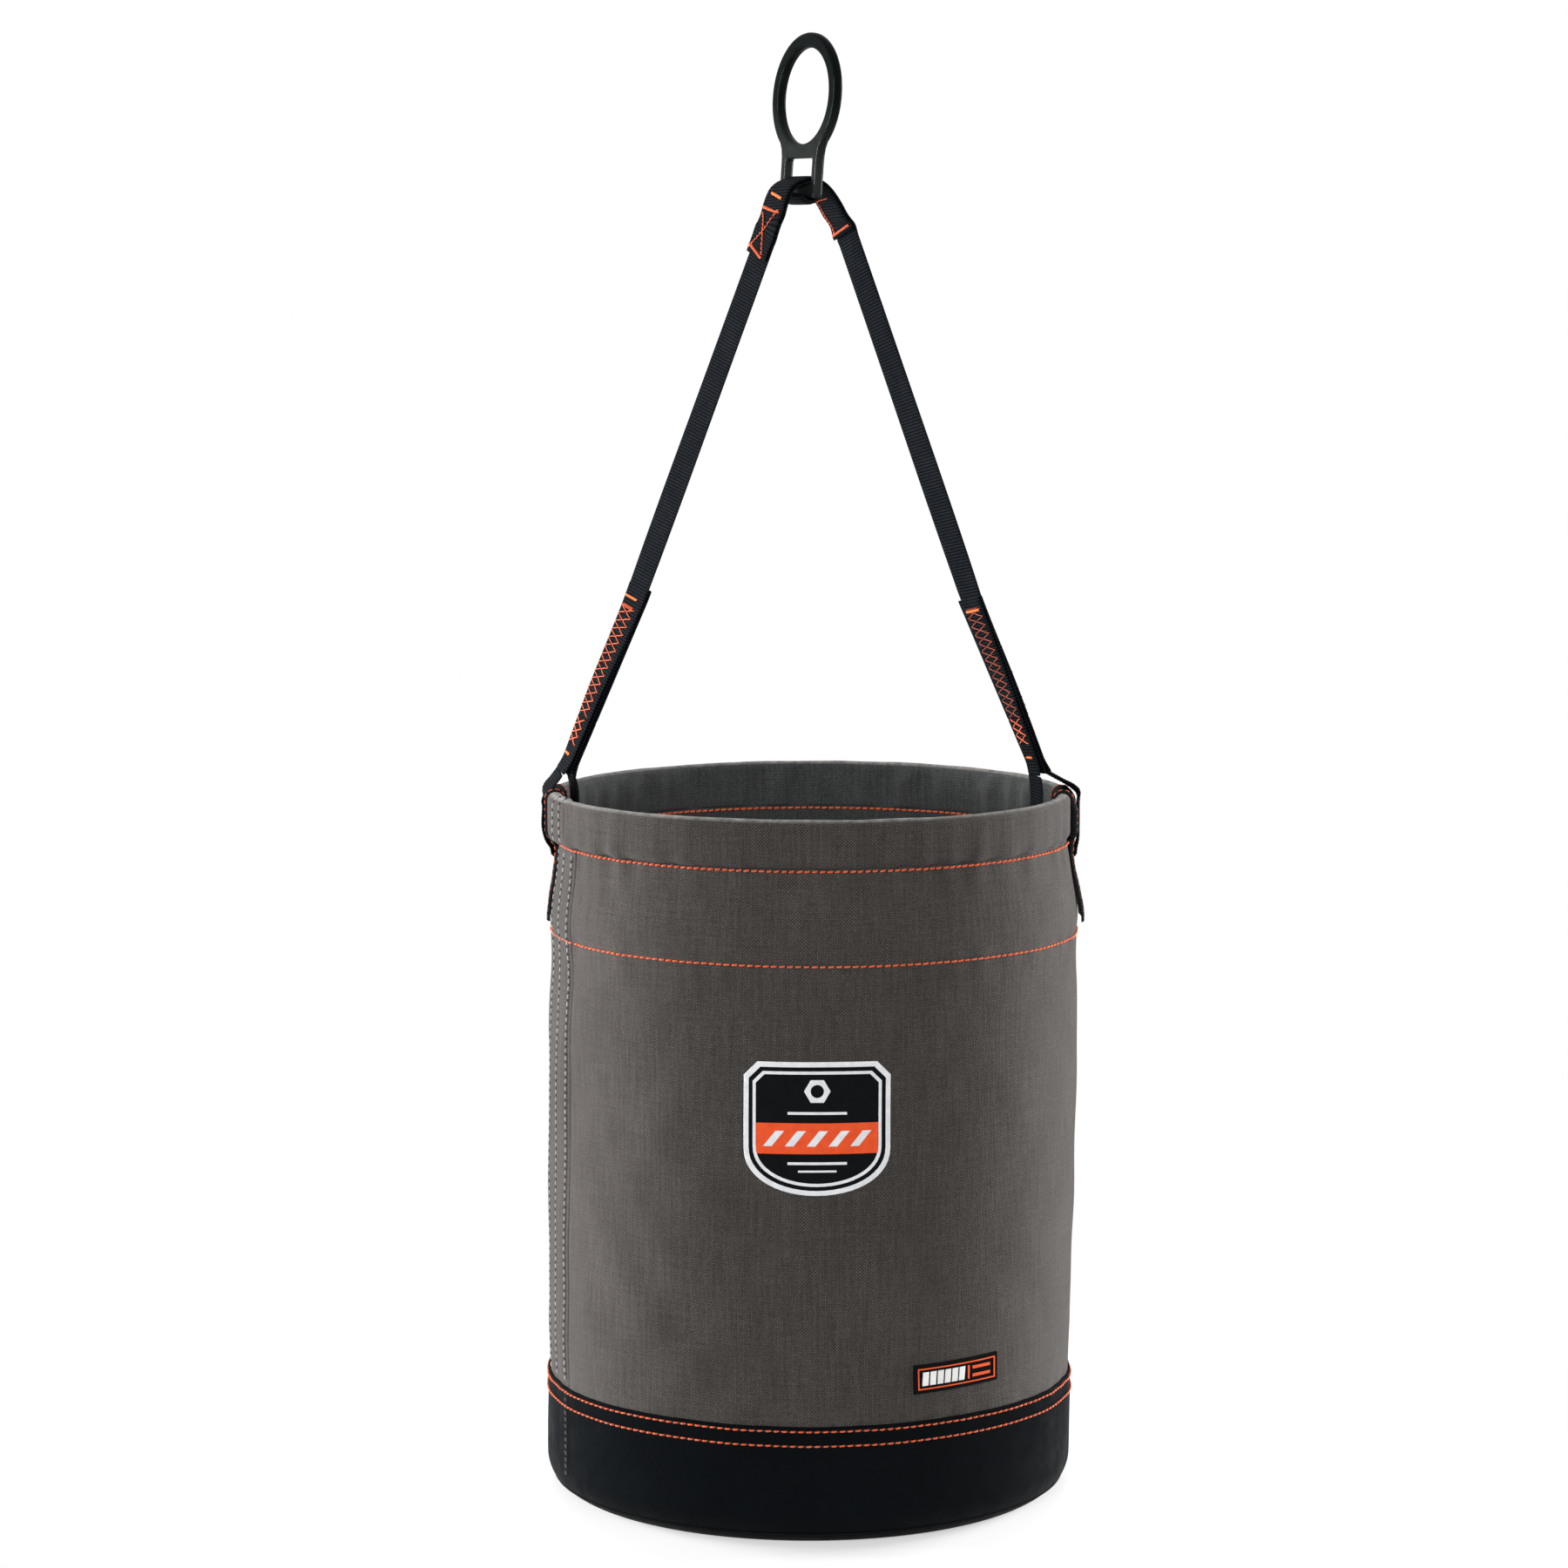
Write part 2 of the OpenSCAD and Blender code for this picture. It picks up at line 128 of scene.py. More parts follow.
def wave_table(seed, count, turns, heights, size):
    """Random soft waves, as (turns round the bucket, wave length up it, two phases, height)."""
    rng = np.random.default_rng(seed)
    return [(rng.integers(*turns), rng.uniform(*heights), rng.uniform(0, TAU), rng.uniform(0, TAU),
             size * rng.uniform(0.5, 1)) for _ in range(count)]


def waves(table, angle, z):
    turn = np.radians(angle)
    return sum(size * np.cos(n * turn + p) * np.cos(TAU * z / length + q)
               for n, length, p, q, size in table)


def unit(vectors):
    """The same directions, each one long."""
    return vectors / np.linalg.norm(vectors, axis=-1, keepdims=True)


# ---------- The cloth's shape ----------

SAG = wave_table(seed=5, count=10, turns=(2, 8), heights=(140, 420), size=0.42)
DENTS = wave_table(seed=11, count=18, turns=(8, 24), heights=(45, 130), size=0.10)
PUCKERS = wave_table(seed=23, count=10, turns=(30, 64), heights=(300, 900), size=0.20)
INNER_FOLDS = wave_table(seed=31, count=9, turns=(22, 48), heights=(160, 500), size=1.0)


def at_sides(angle, width):
    """1 where a bail leg crosses the rim, falling to 0 away from it."""
    return hump(np.abs(angle), 90, width)


def wall_base(z):
    """Plain radius of the canvas face at height z."""
    return WALL_R + (NECK_R - WALL_R) * np.clip((z - FLARE_Z) / (NECK_Z - FLARE_Z), 0, 1)


def lean(z):
    """How far the soft cloth hangs over to +X at height z."""
    return np.interp(z, (75, 105, 143, 221, 279, 337, 386, 402), (0, 0.5, 1.3, 2.9, 2.6, 3.4, 3.3, 2.4))


def side_belly(z):
    """How far it bulges at both sides."""
    return np.interp(z, (70, 100, 143, 221, 279, 320, 350, 402), (0, 1.4, 1.3, 1.5, 2.0, 1.2, 0.3, 0))


def wall_shift(angle, z):
    """How far the cloth stands out from its plain shape: soft dents, and puckers along the seams."""
    hoop = 1 - 0.75 * hump(z, RIM_Z, 45)
    base = np.clip((z - 12) / 45, 0, 1)
    belly = 1.1 * hump(z, COLLAR_Z + 17, 15) - 0.8 * hump(z, COLLAR_Z - 20, 15)
    groove = -0.45 * hump(z, COLLAR_Z, 2.2)
    seam = hump(z, NECK_Z - 5, 13) + 0.7 * hump(z, COLLAR_Z, 9) + 0.5 * hump(z, BOOT_Z + 2, 8)
    calm = 1 - 0.85 * at_sides(angle, 12)
    soft = (waves(SAG, angle, z) + waves(DENTS, angle, z)) * hoop
    across = np.sin(np.radians(angle))
    hang = lean(z) * across + side_belly(z) * across ** 4
    return (soft + belly + groove + waves(PUCKERS, angle, z) * seam * calm) * base + hang


def polar(angle, radius, z):
    """Points at an angle from the front, stacked on a last axis."""
    turn = np.radians(angle)
    parts = np.broadcast_arrays(radius * np.sin(turn), -radius * np.cos(turn), z)
    return np.stack(parts, axis=-1).astype(float)


def outward(angle):
    """The level direction out of the wall."""
    return polar(np.asarray(angle, float), 1.0, 0.0)


def on_wall(angle, z, off=0.0):
    """A point on the canvas face, off millimetres out of it."""
    return polar(angle, wall_base(z) + wall_shift(angle, z) + off, z)


def arc(centre, radius, start, end, count):
    turn = np.radians(np.linspace(start, end, count))
    return np.column_stack([centre[0] + radius * np.cos(turn), centre[1] + radius * np.sin(turn)])


def line(start, end, step):
    count = max(2, int(math.dist(start, end) / step) + 1)
    return np.linspace(start, end, count)


def lengths(points):
    """Distance along a line of points."""
    return np.concatenate([[0], np.cumsum(np.linalg.norm(np.diff(points, axis=0), axis=1))])


def sample(points, at):
    """Points of a polyline at the distances at."""
    along = lengths(points)
    return np.stack([np.interp(at, along, column) for column in points.T], axis=-1)


# Outline of the rim casing as (radius, height): from the outer seam over the crest to the inner seam.
CASING_MID = CASING_OUT - CASING_W / 2
CROWN_Z = RIM_Z - CASING_W / 2
TUCK_R = CASING_OUT - NECK_R
CASING_LINE = np.vstack([
    arc((NECK_R, NECK_Z + TUCK_R), TUCK_R, -82, 0, 10),
    line((CASING_OUT, NECK_Z + TUCK_R), (CASING_OUT, CROWN_Z), 1.5)[1:],
    arc((CASING_MID, CROWN_Z), CASING_W / 2, 0, 180, 16)[1:],
    line((CASING_OUT - CASING_W, CROWN_Z), (CASING_OUT - CASING_W, NECK_Z + 2), 1.5)[1:],
    arc((CASING_OUT - CASING_W + 2, NECK_Z + 2), 2, 180, 250, 5)[1:]])


CASING_OUTWARD = unit(np.gradient(CASING_LINE, axis=0)[:, ::-1] * (1, -1))
CASING_ALONG = lengths(CASING_LINE)
CREST_ALONG = float(CASING_ALONG[np.argmax(CASING_LINE[:, 1])])
DRAWN_IN = 2.0                      # how far the rim is drawn in at +X
FOLD_ROOM = 0.7                     # how far its inner face may go outwards, for the hoop inside


def on_casing(angle, along, off=0.0):
    """A point on the rim casing, at a distance along its outline, off millimetres out of it."""
    radius, z, out_r, out_z = (np.interp(along, CASING_ALONG, column)
                               for column in (*CASING_LINE.T, *CASING_OUTWARD.T))
    inner = np.clip((CREST_ALONG + 6 - along) / -8, 0, 1)
    calm = 1 - 0.9 * at_sides(angle, 13)
    outer_pucker = waves(PUCKERS, angle, z) * hump(z, NECK_Z, 9) * (1 - inner)
    inner_fold = (waves(INNER_FOLDS, angle, z) + 0.9) * inner
    crest = 0.5 * waves(DENTS, angle, RIM_Z) + 0.35 * np.cos(np.radians(2 * angle + 40))
    fold = (outer_pucker + inner_fold) * calm
    drawn_in = DRAWN_IN * np.clip(np.sin(np.radians(angle)), 0, 1) ** 6
    far = radius + wall_shift(angle, NECK_Z) * 0.5 - drawn_in + out_r * fold
    far = np.minimum(far, CASING_OUT - CASING_W + FOLD_ROOM + 30 * (1 - inner))
    return polar(angle, far + out_r * off,
                 z + out_z * (off + fold * (1 - inner)) + crest * np.clip((z - NECK_Z) / 20, 0, 1))


# ---------- Meshes ----------

@contextmanager
def editing(mesh):
    """A mesh opened for editing, and written back afterwards."""
    whole = bmesh.new()
    whole.from_mesh(mesh)
    yield whole
    whole.to_mesh(mesh)
    whole.free()


def in_scene(name, data):
    """A new object that is part of the scene."""
    piece = bpy.data.objects.new(name, data)
    bpy.context.scene.collection.objects.link(piece)
    return piece


def new_piece(name, points, faces, uv, material):
    """A mesh object from points in millimetres, with its cloth coordinates in metres."""
    mesh = bpy.data.meshes.new(name)
    mesh.from_pydata((np.asarray(points) * MM).tolist(), [], faces)
    layer = mesh.uv_layers.new(name="cloth")
    layer.data.foreach_set("uv", (np.asarray(uv) * MM).astype(np.float32).ravel())
    with editing(mesh) as whole:
        bmesh.ops.recalc_face_normals(whole, faces=whole.faces)
    mesh.shade_smooth()
    mesh.materials.append(material)
    return in_scene(name, mesh)


def grid(name, points, u, v, material, ring_u=False, ring_v=False):
    """A piece from a grid of points. u and v are the cloth coordinates of its rows and columns, with one
    more where the grid closes on itself. A tube that doesn't close gets flat ends."""
    rows, columns = points.shape[:2]
    i, j = np.meshgrid(np.arange(len(u) - 1), np.arange(len(v) - 1), indexing="ij")
    ni, nj = (i + 1) % rows, (j + 1) % columns
    faces = np.stack([i * columns + j, i * columns + nj, ni * columns + nj, ni * columns + j], -1)
    u, v = np.asarray(u, float), np.asarray(v, float)
    uv = np.stack([np.stack([u[i + a], v[j + b]], -1) for a, b in ((0, 0), (0, 1), (1, 1), (1, 0))], -2)
    faces = faces.reshape(-1, 4).tolist()
    uv = uv.reshape(-1, 2)
    if ring_v and not ring_u:
        last = (rows - 1) * columns
        faces += [list(range(columns)), list(range(last, last + columns))]
        uv = np.vstack([uv, *([[u[end], v[k]] for k in range(columns)] for end in (0, -1))])
    return new_piece(name, points.reshape(-1, 3), faces, uv, material)


def slab(name, top, bottom, u, v, material):
    """A closed piece between two grids that share their edges' places."""
    section = np.concatenate([top, bottom[:, ::-1]], axis=1)
    around = np.concatenate([v, v[::-1], v[:1]])
    return grid(name, section, u, around, material, ring_v=True)


def place(piece, slot, nodes=(), body="bucket"):
    """Hides the CAD nodes that a piece replaces and hangs it on the body that it rides on.
    slot is not used.
    """
    if nodes:
        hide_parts(*nodes)
    if body:
        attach(piece, body)
    return piece


def turned(name, outline, shift, material, count=480):
    """A closed shell of revolution: outline is (radius, height), closed, moved out by shift(angle, z)."""
    angle = np.arange(count) * 360 / count
    radius, z = np.asarray(outline, float).T
    far = radius[None, :] + shift(angle[:, None], z[None, :])
    points = polar(angle[:, None], far, z[None, :])
    u = np.linspace(0, TAU * WALL_R, count + 1)
    v = lengths(np.vstack([outline, outline[:1]]))
    return grid(name, points, u, v, material, ring_u=True, ring_v=True)


# ---------- Stitches ----------

STITCH_SHARE = np.array([0, 0.08, 0.25, 0.5, 0.75, 0.92, 1])
STITCH_LIFT = np.array([-0.9, 0.2, 0.75, 0.9, 0.75, 0.2, -0.9])
STITCH_SIZE = np.array([0.5, 0.85, 1, 1.05, 1, 0.85, 0.5])
STITCH_SIDES = 6


def stitches(name, starts, ends, ups, radius, material, flat=1.0):
    """Separate threads from each start to each end, which dive into the cloth at both ends."""
    starts, ends, ups = (np.asarray(part, float)[:, None, None, :] for part in (starts, ends, ups))
    along = ends - starts
    across = np.cross(unit(along), ups)
    share, lift, thick = (part[None, :, None, None] for part in (STITCH_SHARE, STITCH_LIFT, STITCH_SIZE))
    turn = (np.arange(STITCH_SIDES) * TAU / STITCH_SIDES)[None, None, :, None]
    section = across * np.cos(turn) + ups * np.sin(turn) * flat
    points = starts + along * share + ups * lift * radius * flat + section * thick * radius
    count, rings, sides = points.shape[:3]
    first = (np.arange(count) * rings * sides)[:, None, None]
    i, j = np.meshgrid(np.arange(rings - 1), np.arange(sides), indexing="ij")
    quad = np.stack([i * sides + j, i * sides + (j + 1) % sides,
                     (i + 1) * sides + (j + 1) % sides, (i + 1) * sides + j], -1).reshape(1, -1, 4)
    faces = (first + quad).reshape(-1, 4).tolist()
    round_uv = np.arange(sides + 1) * TAU * radius / sides
    reach = np.linalg.norm(along, axis=-1).reshape(count, 1) * STITCH_SHARE[None, :]
    uv = np.stack([np.stack([reach[:, i + a], np.broadcast_to(round_uv[j + b], (count, *j.shape))], -1)
                   for a, b in ((0, 0), (0, 1), (1, 1), (1, 0))], -2).reshape(-1, 2)
    for ring in (0, rings - 1):
        caps = first[:, 0] + ring * sides + np.arange(sides)[None, :]
        faces += caps.tolist()
        uv = np.vstack([uv, np.zeros((count * sides, 2))])
    return new_piece(name, points.reshape(-1, 3), faces, uv, material)


def run(path, ups, pitch, fill=0.78, seed=1, loose=0.12, slant=0.0):
    """Cuts a sewn line into stitches: their (starts, ends, ups), and the (places, ups, directions) of the
    needle holes. Each stitch starts and ends slant millimetres to either side of the line."""
    rng = np.random.default_rng(seed)
    along = lengths(path)
    count = max(1, round(along[-1] / pitch))
    step = along[-1] / count
    centre = (np.arange(count) + 0.5) * step + rng.uniform(-loose, loose, count)
    half = step * fill / 2 * rng.uniform(0.92, 1.05, count)
    start, end = sample(path, centre - half), sample(path, centre + half)
    up = np.stack([np.interp(centre, along, column) for column in ups.T], -1)
    side = np.cross(up, unit(end - start))
    side *= slant * rng.uniform(0.6, 1.3, count)[:, None]
    start, end = start - side, end + side
    at = sample(path, np.arange(1, count) * step)
    return (start, end, up), (at, up[:-1], unit(end - start)[:-1])


def gather(parts):
    """Joins lists of rows, column by column."""
    return [np.vstack(column) for column in zip(*parts)]


def sew(name, parts, radius, thread, slot="thread_orange", nodes=(), body="bucket"):
    """One piece from a list of (starts, ends, ups)."""
    return place(stitches(name, *gather(parts), radius, thread), slot, nodes, body)


def needle_holes(name, marks, radius):
    """Needle holes of a seam, as flat black drops pressed into the cloth: painted shade in the holes."""
    at, ups, along = gather(marks)
    half = along * radius
    drops = stitches(name + "_holes", at - half, at + half, ups, radius, BLACK_THREAD_AND_HOLE_SHADE, flat=0.35)
    place(drops, "thread_black")


# ---------- Materials ----------

class Recipe:
    """Builds the nodes of one material. A socket's value is set on it, or linked if it is an output."""

    def __init__(self, name, **values):
        self.material = bpy.data.materials.new(name)
        self.material.use_nodes = True
        self.tree = self.material.node_tree
        self.shader = self.tree.nodes["Principled BSDF"]
        self.finish(**values)

    def put(self, socket, value):
        if isinstance(value, bpy.types.NodeSocket):
            self.tree.links.new(value, socket)
        else:
            socket.default_value = value

    def fill(self, node, values):
        """Sets or links sockets of a node, by name or by number."""
        for key, value in values.items():
            self.put(node.inputs[key], value)
        return node

    def add(self, kind, *values, **properties):
        node = self.tree.nodes.new(kind)
        for key, value in properties.items():
            setattr(node, key, value)
        for socket, value in zip(node.inputs, values):
            self.put(socket, value)
        return node

    def math(self, operation, *values):
        return self.add("ShaderNodeMath", *values, operation=operation).outputs[0]

    def times(self, a, b):
        return self.math("MULTIPLY", a, b)

    def ridges(self, value, per_metre):
        """Rounded ridges across a coordinate, from 0 to 1."""
        return self.math("ABSOLUTE", self.math("SINE", self.times(value, math.pi * per_metre)))

    def cloth(self):
        """The cloth coordinates in metres: along and across."""
        parts = self.add("ShaderNodeSeparateXYZ", self.add("ShaderNodeUVMap", uv_map="cloth").outputs[0])
        return parts.outputs[0], parts.outputs[1]

    def place(self):
        return self.add("ShaderNodeTexCoord").outputs["Object"]

    def point(self, x, y, z=0.0):
        return self.add("ShaderNodeCombineXYZ", x, y, z).outputs[0]

    def height(self):
        return self.add("ShaderNodeSeparateXYZ", self.place()).outputs[2]

    def noise(self, vector, scale, detail=2.0, roughness=0.5):
        values = {"Vector": vector, "Scale": scale, "Detail": detail, "Roughness": roughness}
        return self.fill(self.add("ShaderNodeTexNoise"), values).outputs["Fac"]

    def spread(self, value, low, high, new_low=0.0, new_high=1.0):
        """Maps low..high to new_low..new_high, clamped."""
        return self.add("ShaderNodeMapRange", value, low, high, new_low, new_high).outputs[0]

    def blend(self, share, a, b, kind="MIX"):
        node = self.add("ShaderNodeMix", data_type="RGBA", blend_type=kind)
        return self.fill(node, {0: share, 6: a, 7: b}).outputs[2]

    def tint(self, colour, tone):
        return self.blend(1.0, colour, self.point(tone, tone, tone), "MULTIPLY")

    def bump(self, height, distance, strength):
        values = {"Height": height, "Distance": distance, "Strength": strength}
        return self.fill(self.add("ShaderNodeBump"), values).outputs[0]

    def finish(self, **values):
        """Sets the shader's sockets, with _ for each space in their names."""
        self.fill(self.shader, {key.replace("_", " "): value for key, value in values.items()})
        return self.material


def rgb(red, green, blue):
    return (red, green, blue, 1.0)


def canvas_material(name, light, middle, groove_shade, crest=False):
    """Plain-woven cotton duck: warp yarns over and under weft yarns, slubs in both, and soft blotches.
    The gaps between the yarns are painted darker, as painted shade.
    With crest, the fold at the very top gets a patchy painted highlight."""
    r = Recipe(name, Roughness=0.9, Sheen_Weight=0.10, Sheen_Roughness=0.5, Specular_IOR_Level=0.12)
    u, v = r.cloth()
    per_metre = YARNS / (TAU * WALL_R * MM)
    cell = r.times(*(r.math("SINE", r.times(along, math.pi * per_metre)) for along in (u, v)))
    crown = r.math("POWER", r.math("ABSOLUTE", cell), 0.55)
    warp = r.math("GREATER_THAN", cell, 0.0)
    slub_v = r.noise(r.point(r.times(u, per_metre * 0.5), r.times(v, 30)), 1.0, 2)
    slub_u = r.noise(r.point(r.times(u, 30), r.times(v, per_metre * 0.5), 7), 1.0, 2)
    slub = r.fill(r.add("ShaderNodeMix", data_type="FLOAT"), {0: warp, 2: slub_u, 3: slub_v})
    yarn = r.spread(slub.outputs[0], 0.28, 0.72)
    blotch = r.spread(r.noise(r.place(), 22.0, 3, 0.6), 0.3, 0.7, 0.90, 1.08)
    speck = r.spread(r.noise(r.place(), 900.0, 1), 0.3, 0.7, 0.74, 1.22)
    height = r.times(crown, r.spread(yarn, 0, 1, 0.75, 1.1))
    face = r.blend(warp, middle, light)
    # Painted shade: where the yarns dip into their gaps, the colour goes to the darkest of the three.
    colour = r.blend(r.times(height, r.spread(yarn, 0, 1, 0.75, 1.1)), groove_shade, face)
    colour = r.tint(colour, r.times(blotch, speck))
    if crest:
        colour = r.blend(inside_face(r), colour, r.blend(1.0, colour, rgb(0.84, 0.98, 1.08), "MULTIPLY"))
        # Painted highlight along the crest of the rim.
        colour = r.blend(crest_highlight(r), colour, rgb(0.30, 0.29, 0.27))
    return r.finish(Base_Color=colour, Normal=r.bump(height, 0.00026, 0.9))


def inside_face(r):
    """1 on the rim's inner side, where the cloth is a cooler grey."""
    level = r.add("ShaderNodeVectorMath", r.place(), (1, 1, 0), operation="MULTIPLY").outputs[0]
    far = r.add("ShaderNodeVectorMath", level, operation="LENGTH").outputs["Value"]
    return r.spread(far, (CASING_OUT - 3.5) * MM, (CASING_OUT - 6.5) * MM)


def crest_highlight(r):
    """Painted highlight: how pale the folded edge at the top of the rim is painted, in patches."""
    top = r.spread(r.height(), (RIM_Z - 1.6) * MM, (RIM_Z + 0.1) * MM)
    patchy = r.spread(r.noise(r.place(), 160.0, 4, 0.7), 0.35, 0.65, 0.25, 0.9)
    return r.times(top, patchy)


def webbing_material():
    """Black nylon webbing: fine yarns along each rib, a painted highlight on the rib crowns and painted
    shade in the grooves between them.
    """
    r = Recipe("webbing_nylon", Specular_IOR_Level=0.12, Sheen_Weight=0.0, Sheen_Roughness=0.4)
    u, v = r.cloth()
    yarn = r.noise(r.point(r.times(u, 2600), r.times(v, 420)), 1.0, 2)
    strand = r.ridges(v, 1100)
    dust = r.spread(r.noise(r.place(), 60.0, 3, 0.6), 0.45, 0.75)
    fine = r.spread(yarn, 0.35, 0.65)
    deep, lit = rgb(0.0016, 0.0022, 0.0032), rgb(0.0075, 0.0095, 0.0125)
    colour = r.blend(r.times(fine, 0.8), deep, lit)
    colour = r.blend(r.times(dust, 0.22), colour, rgb(0.014, 0.016, 0.019))
    # Painted highlight and shade: the rib crowns are painted up to 1.6 times lighter, the grooves much
    # darker.
    crown = r.math("ABSOLUTE", r.math("COSINE", r.times(u, math.pi * 1000 / RIB)))
    colour = r.tint(colour, r.spread(r.math("POWER", crown, 1.6), 0.05, 0.95, 0.07, 1.6))
    height = r.math("ADD", fine, r.times(strand, 0.5))
    return r.finish(Base_Color=colour, Roughness=r.spread(yarn, 0.3, 0.7, 0.45, 0.65),
                    Normal=r.bump(height, 0.00008, 0.7))


def thread_material(name, light, groove_shade, roughness=0.45):
    """Twisted polyester thread: plies that wind round it, with painted shade in the grooves between them.
    """
    r = Recipe(name, Roughness=roughness, Sheen_Weight=0.1, Specular_IOR_Level=0.4)
    u, v = r.cloth()
    wind = r.math("ADD", r.times(u, 1400), r.times(v, 1700))
    twist = r.ridges(wind, 0.5)
    fade = r.spread(r.noise(r.place(), 150.0, 2), 0.3, 0.7)
    # Painted shade: the grooves of the twist take the darker colour.
    colour = r.blend(r.times(twist, r.spread(fade, 0, 1, 0.6, 1)), groove_shade, light)
    return r.finish(Base_Color=colour, Normal=r.bump(twist, 0.0001, 0.6))


def leather_material(name, colour, grain, roughness):
    """Coated cloth with a pebbled face: cells with creases between them, and rubbed high spots."""
    r = Recipe(name, Specular_IOR_Level=0.07)
    place = r.place()
    cells = r.add("ShaderNodeTexVoronoi", feature="DISTANCE_TO_EDGE")
    pebble = r.spread(r.fill(cells, {"Vector": place, "Scale": grain}).outputs[0], 0.0, 0.25)
    soft = r.noise(place, grain / 12, 3, 0.6)
    rubbed = r.spread(r.noise(place, 35.0, 4, 0.65), 0.45, 0.8)
    worn = r.blend(r.times(rubbed, 0.35), colour, rgb(*(c * 2.2 for c in colour[:3])))
    shade = r.blend(r.spread(pebble, 0, 1, 0.45, 0), worn, rgb(0.0012, 0.0014, 0.0016))
    height = r.math("ADD", pebble, r.times(soft, 1.6))
    return r.finish(Base_Color=shade, Normal=r.bump(height, 0.00009, 0.6),
                    Roughness=r.spread(soft, 0.3, 0.7, roughness - 0.06, roughness + 0.08))


def ring_material():
    """Forged alloy with a black baked coat: gloss, a faint orange peel and dull rubbed marks.
    Its lower part is painted a lighter grey and made shinier, a painted reflection of the floor.
    """
    r = Recipe("ring_black_coat", Metallic=0.0, Coat_Weight=0.16, Coat_Roughness=0.07)
    place = r.place()
    # Painted reflection of the floor: 1 low on the ring, where the coat is painted lighter and shinier, 0
    # at the top.
    lower_reflection = r.spread(r.height(), (BAR_Z + 8) * MM, (BAR_Z + 52) * MM, 1.0, 0.0)
    peel = r.noise(place, 420.0, 2)
    mark = r.spread(r.noise(place, 48.0, 4, 0.7), 0.52, 0.68)
    colour = r.blend(r.times(mark, 0.5), rgb(0.0012, 0.0022, 0.0022), rgb(0.008, 0.010, 0.010))
    colour = r.blend(r.times(lower_reflection, 0.7), colour, rgb(0.012, 0.015, 0.0145))
    return r.finish(Base_Color=colour, Roughness=r.spread(mark, 0, 1, 0.20, 0.34),
                    Specular_IOR_Level=r.spread(lower_reflection, 0, 1, 0.08, 0.42),
                    Normal=r.bump(peel, 0.00006, 0.25))


def plastic_material(name, colour, roughness):
    """Moulded plastic with a fine spark texture."""
    r = Recipe(name, Specular_IOR_Level=0.45)
    place = r.place()
    tone = r.spread(r.noise(place, 90.0, 3), 0.3, 0.7, 0.88, 1.08)
    dull = r.spread(r.noise(place, 300.0, 2), 0.3, 0.7, roughness - 0.05, roughness + 0.08)
    return r.finish(Base_Color=r.tint(colour, tone), Roughness=dull,
                    Normal=r.bump(r.noise(place, 1800.0, 1), 0.00004, 0.4))


def badge_material(name, light, groove_shade):
    """Tight woven label cloth: fine slanting threads, with painted shade in the grooves of the weave."""
    r = Recipe(name, Roughness=0.6, Sheen_Weight=0.02, Specular_IOR_Level=0.12)
    u, v = r.cloth()
    slant = r.math("ADD", r.times(u, 1500), r.times(v, 1500))
    rib, cross = r.ridges(slant, 0.5), r.ridges(v, 1300)
    height = r.times(rib, r.spread(cross, 0, 1, 0.7, 1))
    blotch = r.spread(r.noise(r.place(), 220.0, 2), 0.3, 0.7, 0.5, 1.0)
    # Painted shade in the weave's grooves, deeper in random blotches.
    return r.finish(Base_Color=r.blend(r.times(height, blotch), groove_shade, light),
                    Normal=r.bump(height, 0.00008, 0.6))


YARNS = 1044                        # round the wall, an even number so that the weave meets itself
# The duck's colours: warp, weft, and painted shade in the gaps between the yarns.
DUCK = (rgb(0.118, 0.106, 0.098), rgb(0.062, 0.055, 0.050), rgb(0.014, 0.012, 0.011))
CANVAS = canvas_material("canvas_duck", *DUCK)
CASING_CANVAS = canvas_material("canvas_rim", *DUCK, crest=True)
CANVAS_INSIDE = canvas_material("canvas_inside", rgb(0.102, 0.106, 0.108), rgb(0.054, 0.056, 0.057),
                                rgb(0.0125, 0.0128, 0.013))
WEBBING = webbing_material()
ORANGE = thread_material("thread_orange", rgb(0.86, 0.16, 0.05), rgb(0.40, 0.045, 0.016))
SHADE_ORANGE = thread_material("thread_shade", rgb(0.50, 0.085, 0.028), rgb(0.22, 0.03, 0.012))
TACK_ORANGE = thread_material("thread_tack", rgb(0.95, 0.25, 0.05), rgb(0.55, 0.09, 0.02))
GREY_THREAD = thread_material("thread_grey", rgb(0.56, 0.56, 0.55), rgb(0.26, 0.26, 0.26))
DIM_THREAD = thread_material("thread_dim", rgb(0.085, 0.088, 0.090), rgb(0.03, 0.031, 0.032))
# Black thread, also used for the needle-hole drops as painted shade.
BLACK_THREAD_AND_HOLE_SHADE = thread_material("thread_black", rgb(0.016, 0.017, 0.019), rgb(0.004, 0.004, 0.005), 0.6)
LEATHER = leather_material("boot_leather", rgb(0.0016, 0.0026, 0.0036), 1000.0, 0.55)
PIPING = leather_material("piping_vinyl", rgb(0.0040, 0.0042, 0.0048), 1500.0, 0.55)
RUBBER = leather_material("label_rubber", rgb(0.0045, 0.0045, 0.0052), 1900.0, 0.6)
RUBBER_ORANGE = plastic_material("label_orange", rgb(0.78, 0.10, 0.025), 0.5)
RUBBER_WHITE = plastic_material("label_white", rgb(0.78, 0.78, 0.76), 0.5)
RING_COAT = ring_material()
HOOP_PLASTIC = plastic_material("hoop_plastic", rgb(0.62, 0.62, 0.60), 0.4)
BASE_PLASTIC = plastic_material("base_plastic", rgb(0.02, 0.02, 0.022), 0.45)
BADGE_WHITE = badge_material("badge_white", rgb(0.86, 0.87, 0.88), rgb(0.50, 0.51, 0.53))
BADGE_BLACK = badge_material("badge_black", rgb(0.0055, 0.0065, 0.0080), rgb(0.0018, 0.0020, 0.0024))
